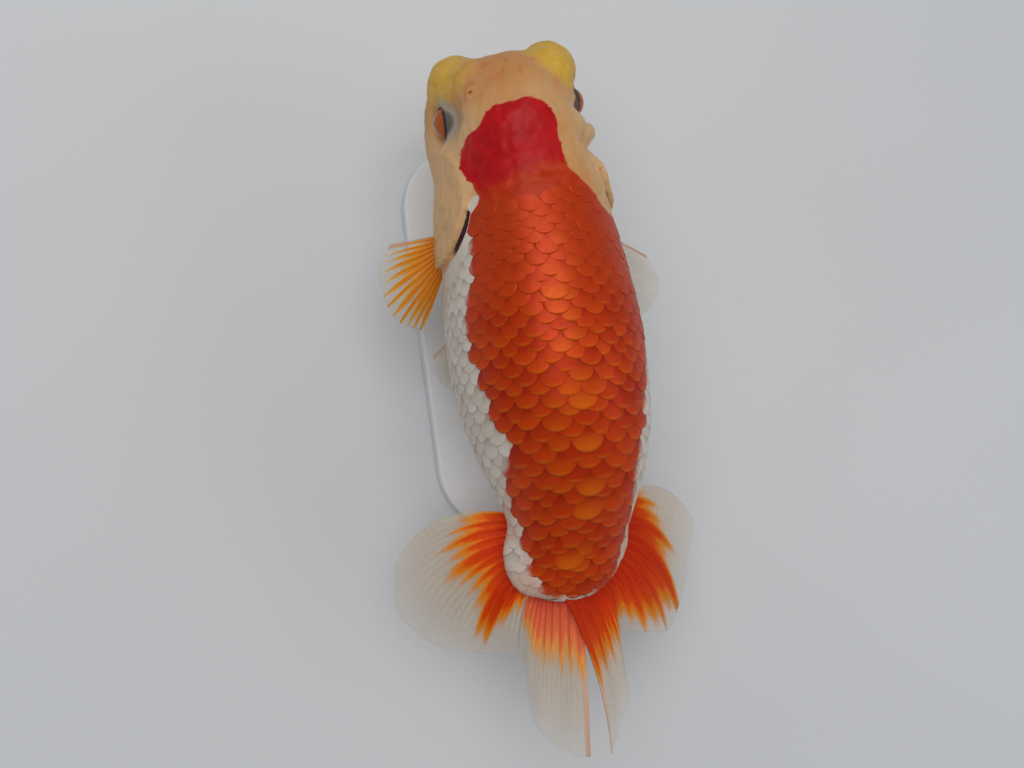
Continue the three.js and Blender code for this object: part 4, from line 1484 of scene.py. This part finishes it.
def place_eyes():
    for name, side in SIDES.items():
        centre, outward = eye_centre(side), eye_axis(side)
        points, quads = turned(eyeball_rows(), centre, outward)
        from_centre = points - centre
        out = from_centre @ outward
        ring = np.linalg.norm(from_centre - out[:, None] * outward, axis=1)
        attributes = {"ring": np.where(out > EYE_RIM - 0.02, ring, EYE_RADIUS)}
        points = world(points)
        eyeball = make_piece(f"eyeball_{name}", points, quads, eyeball_material(), attributes)
        place_piece(eyeball, "eye", f"eye_{name}")
        points, quads = turned(cornea_rows(), centre, outward)
        place_piece(make_piece(f"cornea_{name}", world(points), quads, cornea_material()), "eye")


# ---- stand ----
BASE_CORNER = 16.0
BASE_EDGE = 0.8
CORNER_STEPS = 20
ROD_SEGMENTS = 48
COLLAR_SHARE = 1.5  # the collar's radius over the rod's


def base_points(low, high):
    """Rings of a plate with round corners and round edges, from its underside up."""
    half = (high - low)[:2] / 2
    middle = (high + low)[:2] / 2
    corner = BASE_CORNER * MM
    edge = BASE_EDGE * MM
    bevel = np.linspace(0, math.pi / 2, 5)
    rounding = [(edge * (1 - math.sin(a)), edge * (1 - math.cos(a))) for a in bevel]
    rows = [(low[2] + rise, inset) for rise, inset in rounding[::-1]]
    rows += [(high[2] - rise, inset) for rise, inset in rounding]
    steps = np.arange(CORNER_STEPS + 1) / CORNER_STEPS
    arcs = []
    for z, inset in rows:
        for quarter, sign in enumerate([(1, 1), (-1, 1), (-1, -1), (1, -1)]):
            centre = middle + sign * (half - corner)
            angles = (quarter + steps) * math.pi / 2
            arc = centre + (corner - inset) * np.column_stack([np.cos(angles), np.sin(angles)])
            arcs.append(np.column_stack([arc, np.full(len(arc), z)]))
    return np.concatenate(arcs)


def rod_points(low, high, base_top):
    """Rings of a rod with a collar where it leaves the base and a bevel at its top."""
    centre = (low + high) / 2
    radius = (high.x - low.x) / 2
    collar = radius * COLLAR_SHARE
    profile = [
        (base_top, radius * 0.2), (base_top, collar), (base_top + 1.1 * MM, collar),
        (base_top + 1.5 * MM, collar - 0.4 * MM), (base_top + 1.6 * MM, radius + 0.5 * MM),
        (base_top + 2.0 * MM, radius + 0.1 * MM), (base_top + 2.5 * MM, radius),
        (high.z - 0.5 * MM, radius), (high.z, radius - 0.5 * MM), (high.z, radius * 0.2),
    ]
    angles = np.linspace(0, 2 * math.pi, ROD_SEGMENTS, endpoint=False)
    wheel = np.column_stack([np.cos(angles), np.sin(angles)])
    return np.concatenate([
        np.column_stack([centre[:2] + r * wheel, np.full(ROD_SEGMENTS, z)]) for z, r in profile
    ])


def place_stand():
    low, high = (np.array(corner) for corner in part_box("stand_base"))
    count = 4 * (CORNER_STEPS + 1)
    base = capped_piece("base", base_points(low, high), count, paint_material())
    place_piece(base, "stand_paint", "stand_base")
    steel = steel_material()
    for name in ("front", "rear"):
        points = rod_points(*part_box(f"stand_rod_{name}"), high[2] - low[2])
        rod = capped_piece(f"rod_{name}", points, ROD_SEGMENTS, steel)
        place_piece(rod, "stand_steel", f"stand_rod_{name}")


# ---- stage ----
CAMERA_LEAN = math.radians(12.0)  # from straight above towards the fish's left
CAMERA_ROLL = math.radians(7.75)
CAMERA_DISTANCE = 315.7
CAMERA_AIM = (-5.66, 12.1)  # where it looks, right of and below the body's middle in the picture
FLOOR_REACH = 3.0
# The lights: place, size in metres and power in watts.
LIGHTS = {"sky": ((0.15, -0.25, 1.1), 1.0, 7.4), "fill": ((-0.9, 0.3, 0.7), 0.7, 1.6)}
WORLD_COLOUR = (0.93, 0.96, 1.0, 1)
WORLD_STRENGTH = 0.28


def make_camera():
    """The photo's view, from above with the head at the top of the picture."""
    back = Vector((math.sin(CAMERA_LEAN), 0, math.cos(CAMERA_LEAN)))
    level_down = Vector((0, 1, 0))
    level_right = (-back).cross(-level_down)
    right = level_right * math.cos(CAMERA_ROLL) + level_down * math.sin(CAMERA_ROLL)
    down = level_down * math.cos(CAMERA_ROLL) - level_right * math.sin(CAMERA_ROLL)
    middle = Vector((0, SNOUT_Y + BODY_LENGTH / 2 * MM, AXIS_Z))
    aim = middle + right * CAMERA_AIM[0] * MM + down * CAMERA_AIM[1] * MM
    data = bpy.data.cameras.new("camera")
    data.lens = 50
    data.sensor_width = 36
    camera = bpy.data.objects.new("camera", data)
    turn = Matrix((right, -down, back)).transposed().to_4x4()
    camera.matrix_world = Matrix.Translation(aim + back * (CAMERA_DISTANCE * MM)) @ turn
    bpy.context.scene.collection.objects.link(camera)
    bpy.context.scene.camera = camera


def make_light(name, place, size, power):
    """A round soft light aimed at the fish."""
    data = bpy.data.lights.new(name, "AREA")
    data.shape = "DISK"
    data.size = size
    data.energy = power
    light = bpy.data.objects.new(name, data)
    direction = Vector(place) - Vector((0, 0, AXIS_Z))
    turn = direction.to_track_quat("Z", "Y").to_matrix().to_4x4()
    light.matrix_world = Matrix.Translation(Vector(place)) @ turn
    light.visible_camera = False
    bpy.context.scene.collection.objects.link(light)


def make_stage():
    signs = np.array([(-1, -1, 0), (1, -1, 0), (1, 1, 0), (-1, 1, 0)])
    corners = signs * FLOOR_REACH
    make_piece("floor", corners, [[0, 1, 2, 3]], floor_material(), smooth=False)
    for name, row in LIGHTS.items():
        make_light(name, *row)
    sky = bpy.data.worlds.new("studio")
    sky.use_nodes = True
    background = sky.node_tree.nodes["Background"]
    background.inputs["Color"].default_value = WORLD_COLOUR
    background.inputs["Strength"].default_value = WORLD_STRENGTH
    bpy.context.scene.world = sky
    bpy.context.scene.view_settings.view_transform = "Standard"


# ---- build ----
FLESH = ["head", "wen_cap", "trunk", "tail_stalk", "upper_lip", "lower_jaw"]
FLESH += [f"{part}_{side}" for part in ("wen_lobe", "cheek", "gill_cover") for side in SIDES]

make_camera()
make_stage()
place_piece(skin_piece(), "wen", *FLESH)
place_scales()
place_fins()
place_eyes()
place_stand()
